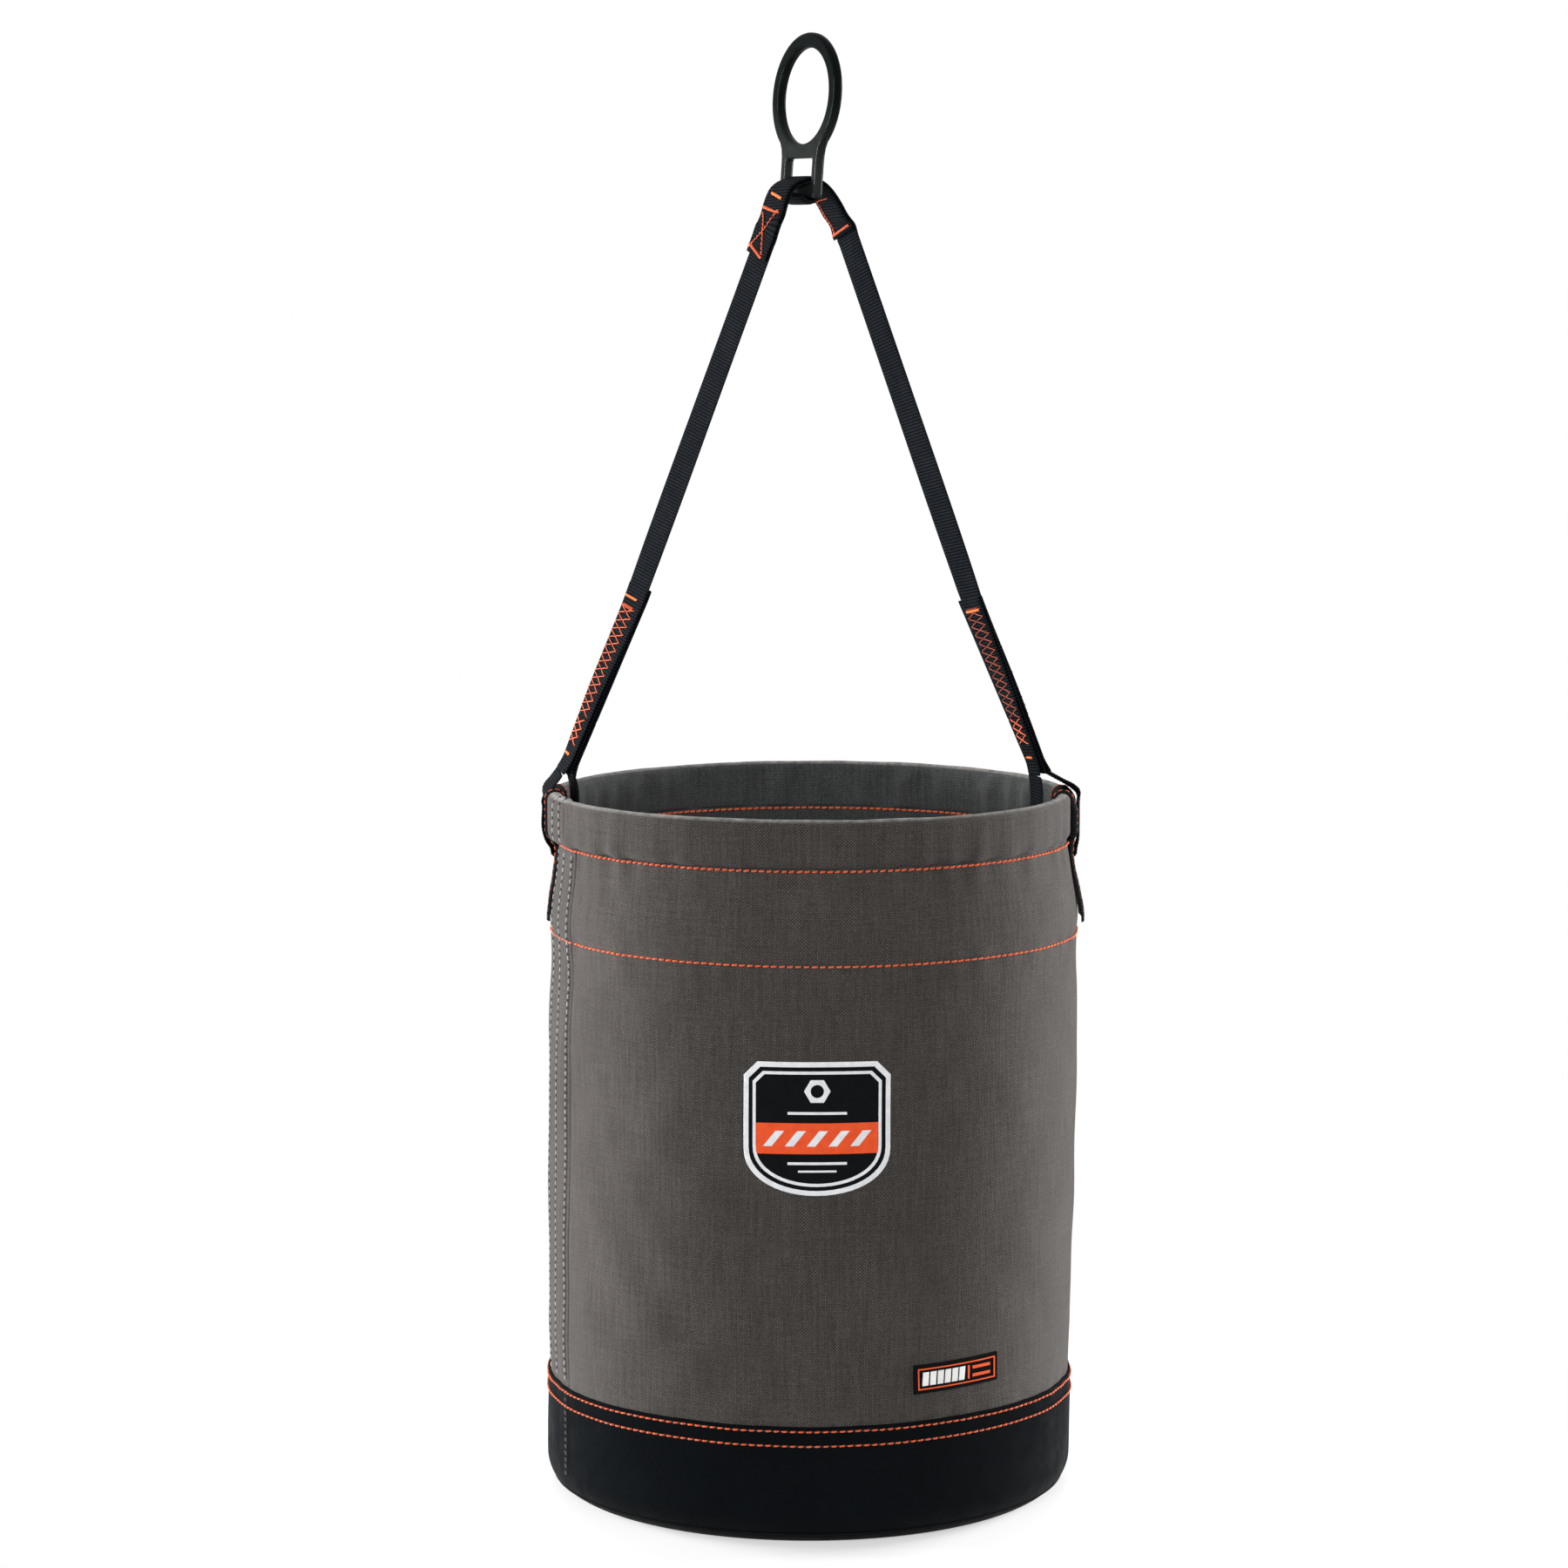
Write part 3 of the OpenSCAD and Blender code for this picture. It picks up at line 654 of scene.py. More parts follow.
BADGE_ORANGE = badge_material("badge_orange", rgb(0.86, 0.12, 0.035), rgb(0.55, 0.05, 0.015))


# ---------- Canvas ----------

def levels(low, high, seams):
    """Heights from low to high, close together near the seams."""
    z = [low]
    while z[-1] < high - 0.5:
        near = min(abs(z[-1] - seam) for seam in seams)
        z.append(z[-1] + min(3.2, 0.7 + near * 0.12))
    z[-1] = high
    return np.array(z)


def wall_ply(name, off, thick, low, high, material):
    """A ply that follows the wall, its outer face off millimetres from the canvas face."""
    z = levels(low, high, (NECK_Z, COLLAR_Z, BOOT_Z))
    outer = np.column_stack([wall_base(z) + off, z])
    inner = np.column_stack([wall_base(z) + off - thick, z])[::-1]
    return turned(name, np.vstack([outer, inner]), wall_shift, material)


def canvas_parts():
    place(wall_ply("canvas_wall", 0, CANVAS_T, 14, NECK_Z + 1, CANVAS), "canvas", ["canvas_body"])
    facing_out = -CANVAS_T - 0.2
    place(wall_ply("collar_inside", facing_out, CANVAS_T, COLLAR_Z - 4, NECK_Z, CANVAS_INSIDE),
          "canvas", ["collar_facing"])


def rim_parts():
    count = 640
    angle = np.arange(count) * 360 / count - 180
    closing = line(CASING_LINE[-1], CASING_LINE[0], 1.2)[1:-1]
    body = on_casing(angle[:, None], CASING_ALONG[None, :])
    shift = wall_shift(angle, NECK_Z)[:, None] * 0.5
    under = polar(angle[:, None], closing[None, :, 0] + shift, closing[None, :, 1])
    points = np.concatenate([body, under], axis=1)
    v = lengths(np.vstack([CASING_LINE, closing, CASING_LINE[:1]]))
    u = np.linspace(0, TAU * WALL_R, count + 1)
    place(grid("rim_casing_cloth", points, u, v, CASING_CANVAS, ring_u=True, ring_v=True),
          "canvas", ["rim_casing"])


def sheet_on(name, where, angles, levels_at, thick, material):
    """A ply that runs out softly at its upright edges: where(angle, level, off) gives its points."""
    a, z = np.meshgrid(angles, levels_at, indexing="ij")
    side = np.clip((1 - np.abs(np.linspace(-1, 1, len(angles)))) / 0.42, 0, 1)[:, None]
    end = np.abs(np.linspace(-1, 1, len(levels_at)))[None, :]
    height = thick * side * side * (3 - 2 * side) * np.sqrt(np.clip(1 - end ** 60, 0.04, 1))
    top = where(a, z, height)
    bottom = where(a, z, np.full_like(height, -0.25))
    u = np.radians(angles) * WALL_R
    return slab(name, top, bottom, u, np.asarray(levels_at, float), material)


def side_lap():
    """The lap of the side seam, on the wall and again on the casing. Its rows of grey stitches are sewn in
    side_rows.
    """
    angles = np.linspace(*SIDE_LAP, 26)
    z = levels(BOOT_Z + 0.3, NECK_Z - 1, (NECK_Z, COLLAR_Z))
    place(sheet_on("side_lap_cloth", on_wall, angles, z, 0.95, CANVAS), "canvas", ["side_seam_lap"])
    over = np.linspace(1.5, CREST_ALONG + 10, 44)
    place(sheet_on("casing_lap_cloth", on_casing, angles - 1.5, over, 0.7, CASING_CANVAS), "canvas")


# ---------- Boot and base ----------

def corner_point(angle, inset=0.0):
    turn, far = math.radians(angle), CORNER_R - inset
    return (CORNER_X + far * math.cos(turn), CORNER_R + far * math.sin(turn))


def boot_parts():
    inner = BOOT_OUT - BOOT_T
    edge = arc((inner + BOOT_T / 2, BOOT_Z - BOOT_T / 2), BOOT_T / 2, 180, 0, 7)
    outer = np.vstack([edge, line((BOOT_OUT, BOOT_Z - 1), (BOOT_OUT, CORNER_R), 1.6),
                       arc((CORNER_X, CORNER_R), CORNER_R, 0, CUP_ANGLE, 12)[1:]])
    inside = arc((CORNER_X, CORNER_R), CORNER_R - BOOT_T, CUP_ANGLE, 0, 8)
    up = line((inner, CORNER_R), (inner, BOOT_Z - 1), 6)[1:]
    outline = np.vstack([outer, inside, up])
    place(turned("boot_skin", outline, boot_shift, LEATHER), "boot_leather", ["boot_wall"])
    cup = np.vstack([arc((CORNER_X, CORNER_R), CORNER_R, CUP_ANGLE - 4, -90, 12),
                     line((CORNER_X - 6, 0), (8, 0), 12),
                     line((8, BOOT_T), (CORNER_X - 6, BOOT_T), 12),
                     arc((CORNER_X, CORNER_R), CORNER_R - BOOT_T, -90, CUP_ANGLE - 4, 12)])
    place(disc_shell("base_cup", cup, LEATHER), "boot_leather", ["boot_base"])
    middle = corner_point(CUP_ANGLE - 2, 0.25)
    cord = turned("piping_round", arc(middle, 0.85, 0, 345, 12), flat_shift, PIPING, 360)
    place(cord, "piping", ["base_piping"])


def boot_shift(angle, z):
    """The boot lies on the canvas, a little calmer, and is round at the base."""
    return wall_shift(angle, z) + 0.18 * hump(z, BOOT_Z - 4, 5) * waves(PUCKERS, angle, z)


def flat_shift(angle, z):
    return np.zeros(np.broadcast(angle, z).shape)


def disc_shell(name, outline, material, count=240):
    """A closed turned shell whose outline runs in to a small radius and back, with both discs filled."""
    piece = turned(name, outline, flat_shift, material, count)
    radius = min(outline[:, 0]) * MM
    with editing(piece.data) as mesh:
        inner = [e for e in mesh.edges if all(abs(v.co.xy.length - radius) < 1e-6 for v in e.verts)
                 and abs(e.verts[0].co.z - e.verts[1].co.z) > 1e-6]
        rim = [f for f in mesh.faces if sum(e in inner for e in f.edges) == 2]
        bmesh.ops.delete(mesh, geom=rim, context="FACES_ONLY")
        bmesh.ops.holes_fill(mesh, edges=[e for e in mesh.edges if e.is_boundary], sides=0)
        bmesh.ops.recalc_face_normals(mesh, faces=mesh.faces)
    return piece


def lining_parts():
    """The canvas floor: a flat disc with a rounded edge, and a sewn round."""
    top = LINING_Z
    edge = CORNER_X + 8
    outline = np.vstack([line((8, top), (edge - 3, top), 6),
                         arc((edge - 0.9, top - 0.8), 0.8, 90, -90, 6),
                         line((edge - 3, top - CANVAS_T), (8, top - CANVAS_T), 6)])
    place(disc_shell("lining_cloth", outline, CANVAS_INSIDE), "canvas", ["floor_lining"])
    angle = np.linspace(-180, 180, 361)
    path = polar(angle, CORNER_X - 6, top + 0.1)
    up = np.tile([0.0, 0.0, 1.0], (len(angle), 1))
    sewn, _ = run(path, up, 4.6, seed=71)
    sew("base_stitches", [sewn], 0.42, BLACK_THREAD_AND_HOLE_SHADE, "thread_black", ["base_seam_thread"])


# ---------- Seams round the bucket ----------

def seam_round(name, where, pitch, radius, seed, nodes, spans=((-180, 180),), fill=0.8, slant=0.12):
    """Stitches and needle holes round the bucket: where(angle, off) gives the sewn line."""
    runs = []
    for low, high in spans:
        angle = np.linspace(low, high, int((high - low) * 2) + 1)
        path = where(angle, 0.0)
        runs.append(run(path, unit(where(angle, 1.0) - path), pitch, fill, seed, slant=slant))
    sewn, marks = zip(*runs)
    sew(name, sewn, radius, ORANGE, nodes=nodes)
    needle_holes(name, marks, 0.62)


def level_line(z, off, sign=1):
    """A level sewn line on the wall, for seam_round. With sign -1 its stitches face inwards."""
    return lambda angle, out: on_wall(angle, z, off + sign * out)


def boot_line(z):
    """The same on the boot."""
    return lambda angle, out: polar(angle, BOOT_OUT + boot_shift(angle, z) + 0.1 + out, z)


def round_seams():
    clear = (SADDLE_W / 2 + 1.5) / NECK_R * 180 / math.pi
    halves = ((-90 + clear, 90 - clear), (90 + clear, 270 - clear))
    inside = -2 * CANVAS_T - 0.25
    seam_round("rim_stitches", level_line(NECK_Z - 1.7, 0.2), 4.4, 0.64, 41,
               ["rim_seam_thread"], halves, 0.86, 0.32)
    seam_round("rim_stitches_inside", level_line(NECK_Z - 1.4, inside, -1), 4.4, 0.66, 42,
               [], halves, 0.9, 0.2)
    seam_round("collar_stitches", level_line(COLLAR_Z, 0.15), 4.7, 0.60, 43,
               ["collar_seam_thread"], ((-63.5, 275.5), (-84, -64.5)), 0.9, 0.2)
    seam_round("collar_stitches_inside", level_line(COLLAR_Z, inside, -1), 4.7, 0.5, 44, [])
    for name, drop, seed in (("upper", 2.8, 45), ("lower", 11.4, 46)):
        seam_round("boot_stitches_" + name, boot_line(BOOT_Z - drop), 4.8, 0.56, seed,
                   ["boot_thread_" + name], fill=0.74)


def side_rows():
    """Three rows of grey stitches up the side lap, two over the casing, and their needle holes."""
    z = np.arange(BOOT_Z + 3, NECK_Z - 3, 1.5)
    over = np.linspace(4, CREST_ALONG + 4, 30)
    rows = [(on_wall(angle, z, 0.95), on_wall(angle, z, 1.95)) for angle in SIDE_ROWS]
    rows += [(on_casing(angle, over, 0.75), on_casing(angle, over, 1.75)) for angle in CASING_ROWS]
    sewn, marks = zip(*(run(path, above - path, 4.6, 0.60, 51 + k)
                        for k, (path, above) in enumerate(rows)))
    sew("side_stitches", sewn, 0.29, GREY_THREAD, "thread_grey", ["side_seam_thread"])
    needle_holes("side_stitches", marks, 0.78)


def boot_row():
    """The boot's own side seam: two dim rows close together."""
    z = np.arange(CORNER_R - 2, BOOT_Z - 1, 1.0)
    parts = []
    for angle, seed in ((BOOT_ROW, 58), (BOOT_ROW - 0.8, 59)):
        path = polar(angle, BOOT_OUT + boot_shift(angle, z) + 0.1, z)
        parts.append(run(path, np.tile(outward(angle), (len(z), 1)), 4.0, 0.7, seed)[0])
    sew("boot_side_stitches", parts, 0.36, DIM_THREAD, "thread_grey")


# ---------- Bail paths ----------

NOTCH_Z = FLEX_LOW - 3              # where the two legs of a rim loop meet
LAP_Z = RIM_Z + 116                 # upper end of a lap
NECK_TOP_Z = BAR_Z - 20             # here the straight leg turns into the shoulder
FOOT_X, LAP_X, HEAD_X = 144.3, 100.8, 20.7
FOOT_TURN = RING_TURN / 2 - 1.5
BAR_R = 4.3
BAR_WRAP = BAR_R + 0.3 + WEB_T / 2  # centre of the inner ply over the bar
END_LEFT_Z, END_RIGHT_Z = BAR_Z - 39, BAR_Z - 25.5
SHOULDER = ((20.4, -14.5), (17.8, -9), (15, -4), (12, 0), (8.4, 2.8))
LEAN = math.atan((FOOT_X - LAP_X) / (LAP_Z - NOTCH_Z))
BAIL_LOW_Z = NOTCH_Z + 3
FAN = 1.6                           # the outer plies stand this much further apart at the notch
PRESSED = 1.75                      # the outer ply is pressed into the strap by this at the top
FREE_TURN = 3.5                     # degrees that the straps turn above the laps
LEFT_LONGER = 7                     # the left lap reaches this much higher
HEAD_Y = 12                         # the legs' tops stand this far to the front and to the back
STEP = 0.38                         # length of a step along the webbing


def leg_station(side, z, off):
    """(x, y, z, turn of the webbing, offset off its face) on a straight leg."""
    lap = (z - NOTCH_Z) / (LAP_Z - NOTCH_Z)
    head = max(0.0, (z - LAP_Z) / (NECK_TOP_Z - LAP_Z))
    x = mix(FOOT_X, LAP_X, lap) if z < LAP_Z else mix(LAP_X, HEAD_X, head)
    free = FREE_TURN * np.clip((z - LAP_Z) / 40, 0, 1) * (1 - head)
    turn = mix(FOOT_TURN, RING_TURN, min(1, lap)) + free
    sway = -HANG * (1 - 0.4 * head)
    return (side * x + sway, side * HEAD_Y * head ** 3, z, turn, mix(*off, head))


def bar_station(side, far, rise, off):
    turn = math.radians(RING_TURN)
    sway = mix(BAR_X, -0.6 * HANG, min(0, rise) / (NECK_TOP_Z - BAR_Z))
    return (side * far * math.cos(turn) + sway, side * far * math.sin(turn), BAR_Z + rise, RING_TURN, off)


def side_up(side, low, off):
    """Stations from height low up to the bar. off is the offset at the lap and at the bar."""
    heights = (low, 466, 500, LAP_Z - 12, LAP_Z, LAP_Z + 14, 600, 660, 710, 740,
               NECK_TOP_Z - 9, NECK_TOP_Z)
    wrap = arc((0, 0), BAR_WRAP, 60, 75, 2)
    return ([leg_station(side, z, off) for z in heights if z >= low]
            + [bar_station(side, *point, off[1]) for point in (*SHOULDER, *wrap)])


def over_bar(low_left, low_right, off_left, off_right):
    return (side_up(-1, low_left, off_left) + [bar_station(1, 0, BAR_WRAP, off_right[1])]
            + side_up(1, low_right, off_right)[::-1])


class Ribbon:
    """Webbing along a smooth path: its centre, width direction and face at each step."""

    def __init__(self, stations, step=STEP):
        rows = np.array(stations, float)
        chord = lengths(rows[:, :3])
        slope = np.gradient(rows, chord, axis=0)
        self.along = np.linspace(0, chord[-1], int(chord[-1] / step) + 1)
        k = np.clip(np.searchsorted(chord, self.along, side="right") - 1, 0, len(chord) - 2)
        span = (chord[k + 1] - chord[k])[:, None]
        t = (self.along - chord[k])[:, None] / span
        fine = (rows[k] * (1 + 2 * t) * (1 - t) ** 2 + slope[k] * span * t * (1 - t) ** 2
                + rows[k + 1] * t * t * (3 - 2 * t) + slope[k + 1] * span * t * t * (t - 1))
        self.centre, turn, self.off = fine[:, :3], np.radians(fine[:, 3]), fine[:, 4]
        forward = unit(np.gradient(self.centre, axis=0))
        wide = np.column_stack([np.sin(turn), -np.cos(turn), np.zeros_like(turn)])
        self.wide = unit(wide - forward * np.sum(wide * forward, axis=1)[:, None])
        self.face = np.cross(self.wide, forward)

    def part(self, side, low, high):
        """The steps of one leg between two heights."""
        leg = (self.centre[:, 0] - BAR_X) * side > 0
        z = self.centre[:, 2]
        return np.flatnonzero(leg & (z >= low) & (z <= high))

    def step_at(self, side, z):
        leg = np.flatnonzero((self.centre[:, 0] - BAR_X) * side > 0)
        return leg[np.argmin(np.abs(self.centre[leg, 2] - z))]

    def point(self, step, across, off):
        """A point on the face at a step, across millimetres towards the +wide edge."""
        step = np.asarray(step)
        return (self.centre[step] + self.wide[step] * np.asarray(across)[..., None]
                + self.face[step] * (self.off[step] + np.asarray(off))[..., None])


EDGE = np.array([-1, -0.985, -0.95, -0.88, -0.76, -0.5, -0.2, 0.2, 0.5, 0.76, 0.88, 0.95, 0.985, 1])


def web_piece(name, ribbon, steps, off=0.0, nodes=(), body="bail", thick=WEB_T):
    """Places a length of ribbed webbing with rounded edges, off millimetres from the path's face."""
    edge = EDGE[None, :]
    profile = np.sqrt(np.clip(1 - np.abs(edge) ** 9, 0.03, 1))
    rib = np.abs(np.cos(math.pi * ribbon.along[steps] / RIB))[:, None] ** 0.7
    tip = np.minimum(np.arange(len(steps)), np.arange(len(steps))[::-1])[:, None]
    sealed = 0.55 + 0.45 * np.clip(tip / 3, 0, 1)
    half = (thick / 2 * profile - 0.34 * (1 - rib) * (1 - np.abs(edge) ** 12)) * sealed
    across = np.broadcast_to(edge * WEB_W / 2, half.shape)
    rise = off + ply_lift(ribbon, steps, off)[:, None]
    row = np.broadcast_to(steps[:, None], half.shape)
    top = ribbon.point(row, across, rise + half)
    bottom = ribbon.point(row, across, rise - half)
    piece = slab(name, top, bottom, ribbon.along[steps], EDGE * WEB_W / 2, WEBBING)
    return place(piece, "webbing", nodes, body)


OVER_PLY = WEB_T + 0.4              # spacing of the two straps at the bar
INNER_OFF, OUTER_OFF = (0.0, 0.0), (0.0, OVER_PLY)
INNER_PLY = Ribbon(over_bar(BAIL_LOW_Z, END_RIGHT_Z, INNER_OFF, INNER_OFF))
OUTER_PLY = Ribbon(over_bar(END_LEFT_Z, BAIL_LOW_Z, (OVER_PLY, OVER_PLY), OUTER_OFF))
LEGS = (("left", -1, INNER_PLY), ("right", 1, OUTER_PLY))


def bail_straps():
    """The two straps that pass over the bar, each with its cut end sewn on the other."""
    for side, s, ribbon in LEGS:
        flex = ribbon.part(s, BAIL_LOW_Z, FLEX_Z - 0.2)
        steps = np.setdiff1d(np.arange(len(ribbon.along)), flex)
        web_piece("strap_web_" + side, ribbon, steps, nodes=["strap_" + side])


def bar_lining():
    """A folded lining of webbing under the bar."""
    turn = math.radians(RING_TURN)
    stations = [(BAR_X + x * math.cos(turn), x * math.sin(turn), BAR_Z + rise, RING_TURN, 0)
                for x, rise in arc((0, 0), BAR_R + 0.3 + 1.8, -168, -12, 9)]
    ribbon = Ribbon(stations, 0.3)
    web_piece("bar_lining_web", ribbon, np.arange(len(ribbon.along)), thick=3.4)


def bail_laps():
    """The rim loop's plies on both faces of a strap, and the stretch below where all three bend."""
    for side, s, ribbon in LEGS:
        lap = ribbon.part(s, FLEX_Z - 0.2, LAP_Z + (LEFT_LONGER if s < 0 else 0))
        flex = ribbon.part(s, BAIL_LOW_Z - 0.2, FLEX_Z)
        for name, off, nodes in (("outer", PLY, ["lap_plies_" + side]), ("inner", -PLY, [])):
            web_piece(f"lap_web_{side}_{name}", ribbon, lap, off, nodes)
        for name, off in (("outer", PLY), ("middle", 0.0), ("inner", -PLY)):
            nodes = [] if off else ["lap_flex_" + side]
            bend(web_piece(f"flex_web_{side}_{name}", ribbon, flex, off, nodes, None))


def ply_lift(ribbon, steps, off):
    """How far a ply of the lap stands off its plain place: both fan out at the notch, and the outer one is
    pressed into the strap towards the top."""
    z = ribbon.centre[steps, 2]
    fan = FAN * np.clip((BAIL_LOW_Z + 9 - z) / 9, 0, 1) ** 1.5
    share = np.clip((z - FLEX_Z - 8) / (LAP_Z - FLEX_Z - 8), 0, 1)
    pressed = PRESSED * share * share * (3 - 2 * share) if off > 0 else 0
    return np.sign(off) * fan - pressed


def bend(piece):
    """Bakes the piece's place into its mesh."""
    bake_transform(piece)


# ---------- Loops and wear patches on the rim ----------

LOOP_OUT = CASING_OUT + 0.2 + SADDLE_T + 0.2 + WEB_T / 2
LOOP_IN = CASING_OUT - CASING_W - 10.5
LOOP_ARC = CASING_W / 2 + 0.4 + SADDLE_T + WEB_T / 2
SLIT_Z = NECK_Z - 11                # the loop passes through the wall here
RIM_LEAN = float(lean(NECK_Z)) / 2  # the rim stands this far over to +X


def rim_loop_stations(side):
    """Round the rim: from the notch out over the patch, in through the slit, and up inside."""
    top = BAIL_LOW_Z - 0.4
    meet = mix(FOOT_X, LAP_X, (top - NOTCH_Z) / (LAP_Z - NOTCH_Z)) - side * HANG
    rise, reach = (PLY + FAN) * math.sin(LEAN), (PLY + FAN) * math.cos(LEAN)
    turn = mix(FOOT_TURN, RING_TURN, (top - NOTCH_Z) / (LAP_Z - NOTCH_Z))
    hang = LOOP_IN - 0.6 * side * HANG
    # The left loop follows the leaning rim. The right one lies on a doubled patch, a little askew.
    shift, slack = (-RIM_LEAN - 1.1, 0) if side < 0 else (0.8, -4)
    middle = np.array([CASING_MID + shift, CROWN_Z])
    away = np.array([meet + reach, top + rise]) - middle
    land = math.degrees(math.atan2(away[1], away[0]) - math.acos(LOOP_ARC / math.hypot(*away)))
    over = arc(middle, LOOP_ARC, land, 0, 5)
    out, low = LOOP_OUT + shift, side * float(lean(SLIT_Z))
    path = [(meet + reach, top + rise, turn), (*mix(over[0], away + middle, 0.5), turn)]
    path += [(x, z, mix(turn, slack, (k / 4) ** 1.3)) for k, (x, z) in enumerate(over)]
    path += [(out, CROWN_Z - 5, slack), (out, NECK_Z + 4, slack),
             (out - 1 + low / 4, NECK_Z - 2, slack), (out - 3 + low / 2, SLIT_Z + 4.5, slack / 2),
             (NECK_R + 3.5 + low, SLIT_Z + 0.6, 0), (NECK_R + low / 2, SLIT_Z - 0.3, 0),
             (NECK_R - 4, SLIT_Z + 0.4, 0), (NECK_R - 7.5, SLIT_Z + 3, 0),
             (hang, SLIT_Z + 12, turn * 0.3), (hang, CROWN_Z - 8, turn * 0.8), (hang, CROWN_Z + 5, turn),
             (mix(hang, meet - reach, 0.3), CROWN_Z + 8.3, turn), (meet - reach, top - rise, turn)]
    stations = [(side * x, 0, z, t, 0) for x, z, t in path]
    return stations[::-1] if side < 0 else stations


def rim_loops():
    for side, s, _ in LEGS:
        ribbon = Ribbon(rim_loop_stations(s))
        steps = np.arange(len(ribbon.along))
        web_piece("rim_loop_web_" + side, ribbon, steps, nodes=["rim_loop_" + side], body="bucket")


SADDLE_IN = CREST_ALONG + CASING_W * math.pi / 4 + 17    # its inner end, along the casing's outline
SADDLE_SUNK = 0.52                  # how deep its stitches lie


def saddle_line(angle, tail):
    """The wear patch's lower face: from its inner end over the casing, then down to a free tail."""
    top = on_casing(angle, np.linspace(SADDLE_IN, 3.0, 74), 0.15)
    z = np.linspace(NECK_Z - 5, FLARE_Z - 2.8, 28)
    below = on_wall(angle, z, 0.35 + tail * np.linspace(0, 1, 28) ** 1.4)
    return np.vstack([top, below])


def saddle_patches():
    """Webbing over the rim under each loop. tail is how far its outer end stands off the wall, and
    fold how much thicker the doubled outer part is."""
    half = math.degrees(SADDLE_W / 2 / CASING_OUT)
    edges = np.linspace(-1, 1, 21)
    for side, middle, tail, fold in (("left", -90, 0.6, 0), ("right", 88.8, 2.4, 2.6)):
        under = np.stack([saddle_line(middle + half * e, tail) for e in edges], axis=1)
        out = unit(np.cross(np.gradient(under, axis=0), np.gradient(under, axis=1)))
        out *= np.sign(np.sum(out[80] * under[80] * (1, 1, 0)))
        along = lengths(under[:, 10])
        rib = np.abs(np.cos(math.pi * along / RIB))[:, None, None] ** 0.7
        body = np.sqrt(np.clip(1 - np.abs(edges) ** 10, 0.05, 1))[None, :, None]
        outside = (np.arange(len(under)) > np.argmax(under[:, 10, 2]))[:, None, None]
        z = under[:, :, 2:]
        doubled = outside * np.clip((RIM_Z - 2 - z) / 9, 0, 1) * np.clip((z - NECK_Z + 10) / 8, 0, 1)
        over = under + out * ((SADDLE_T + fold * doubled) * body - 0.2 * (1 - rib))
        piece = slab("saddle_web_" + side, over, under, along, edges * SADDLE_W / 2, WEBBING)
        place(piece, "webbing", ["saddle_patch_" + side])
        rows = [saddle_row(over[2:, column], out[2:, column], 61 + column) for column in (2, 18)]
        sew("saddle_stitches_" + side, rows, 0.38, ORANGE, nodes=["saddle_thread_" + side])


def saddle_row(face, out, seed):
    """A row of stitches along an edge of a wear patch, sunk in but at the crest and below the casing."""
    z = face[:, 2:]
    proud = 0.7 * np.clip((z - RIM_Z + 7) / 5, 0, 1) + 0.6 * hump(z, NECK_Z - 9, 6)
    return run(face - out * SADDLE_SUNK * (1 - proud), out, 4.2, 0.74, seed)[0]


# ---------- Stitches on the bail ----------

def on_face(ribbon, steps, across, off):
    """A sewn line on a face: its points and up directions. off below zero is the inner face."""
    sign = 1 if off > 0 else -1
    lift = ply_lift(ribbon, steps, off) if abs(off) > PLY else 0
    return ribbon.point(steps, across, off + lift), ribbon.face[steps] * sign


def zigzag(ribbon, steps, width, shift, off, period, phase, seed):
    """One zigzag line of thread along a leg."""
    along = ribbon.along[steps]
    turns = np.arange(along[0], along[-1], period / 2)
    corner = [steps[np.argmin(np.abs(along - t))] for t in turns]
    swing = np.array([1 if (k + phase) % 2 else -1 for k in range(len(corner))])
    rng = np.random.default_rng(seed)
    across = swing * width / 2 * rng.uniform(0.93, 1.04, len(corner)) + shift
    ends, up = on_face(ribbon, np.array(corner), across, off)
    middle = (ends[:-1] + ends[1:]) / 2
    lift = (up[:-1] + up[1:]) / 2
    return (np.vstack([ends[:-1], middle]), np.vstack([middle, ends[1:]]), np.vstack([lift, lift]))


def tack(ribbon, side, z, width, shift, off, tall, pitch=0.75, slope=0.0):
    """A bar tack: short threads side by side across the webbing. It climbs by slope along the ribbon."""
    across = np.arange(-width / 2, width / 2 + pitch / 2, pitch) + shift
    step = ribbon.step_at(side, z) + np.rint(slope * across / STEP).astype(int)
    half = round(tall / 2 / STEP)
    start, up = on_face(ribbon, step - half, across - 0.25, off)
    end, _ = on_face(ribbon, step + half, across + 0.25, off)
    return start, end, up


def cross_line(ribbon, side, low, high, off, pitch, seed):
    """A sewn line from (height, across) low to high on one face."""
    a, b = ribbon.step_at(side, low[0]), ribbon.step_at(side, high[0])
    steps = np.arange(min(a, b), max(a, b) + 1)
    ends = (low[1], high[1]) if a < b else (high[1], low[1])
    path, up = on_face(ribbon, steps, np.linspace(*ends, len(steps)), off)
    return run(path, up, pitch, 0.9, seed)[0]


ZIGZAG_W, ZIGZAG_PERIOD = 19, 10.8


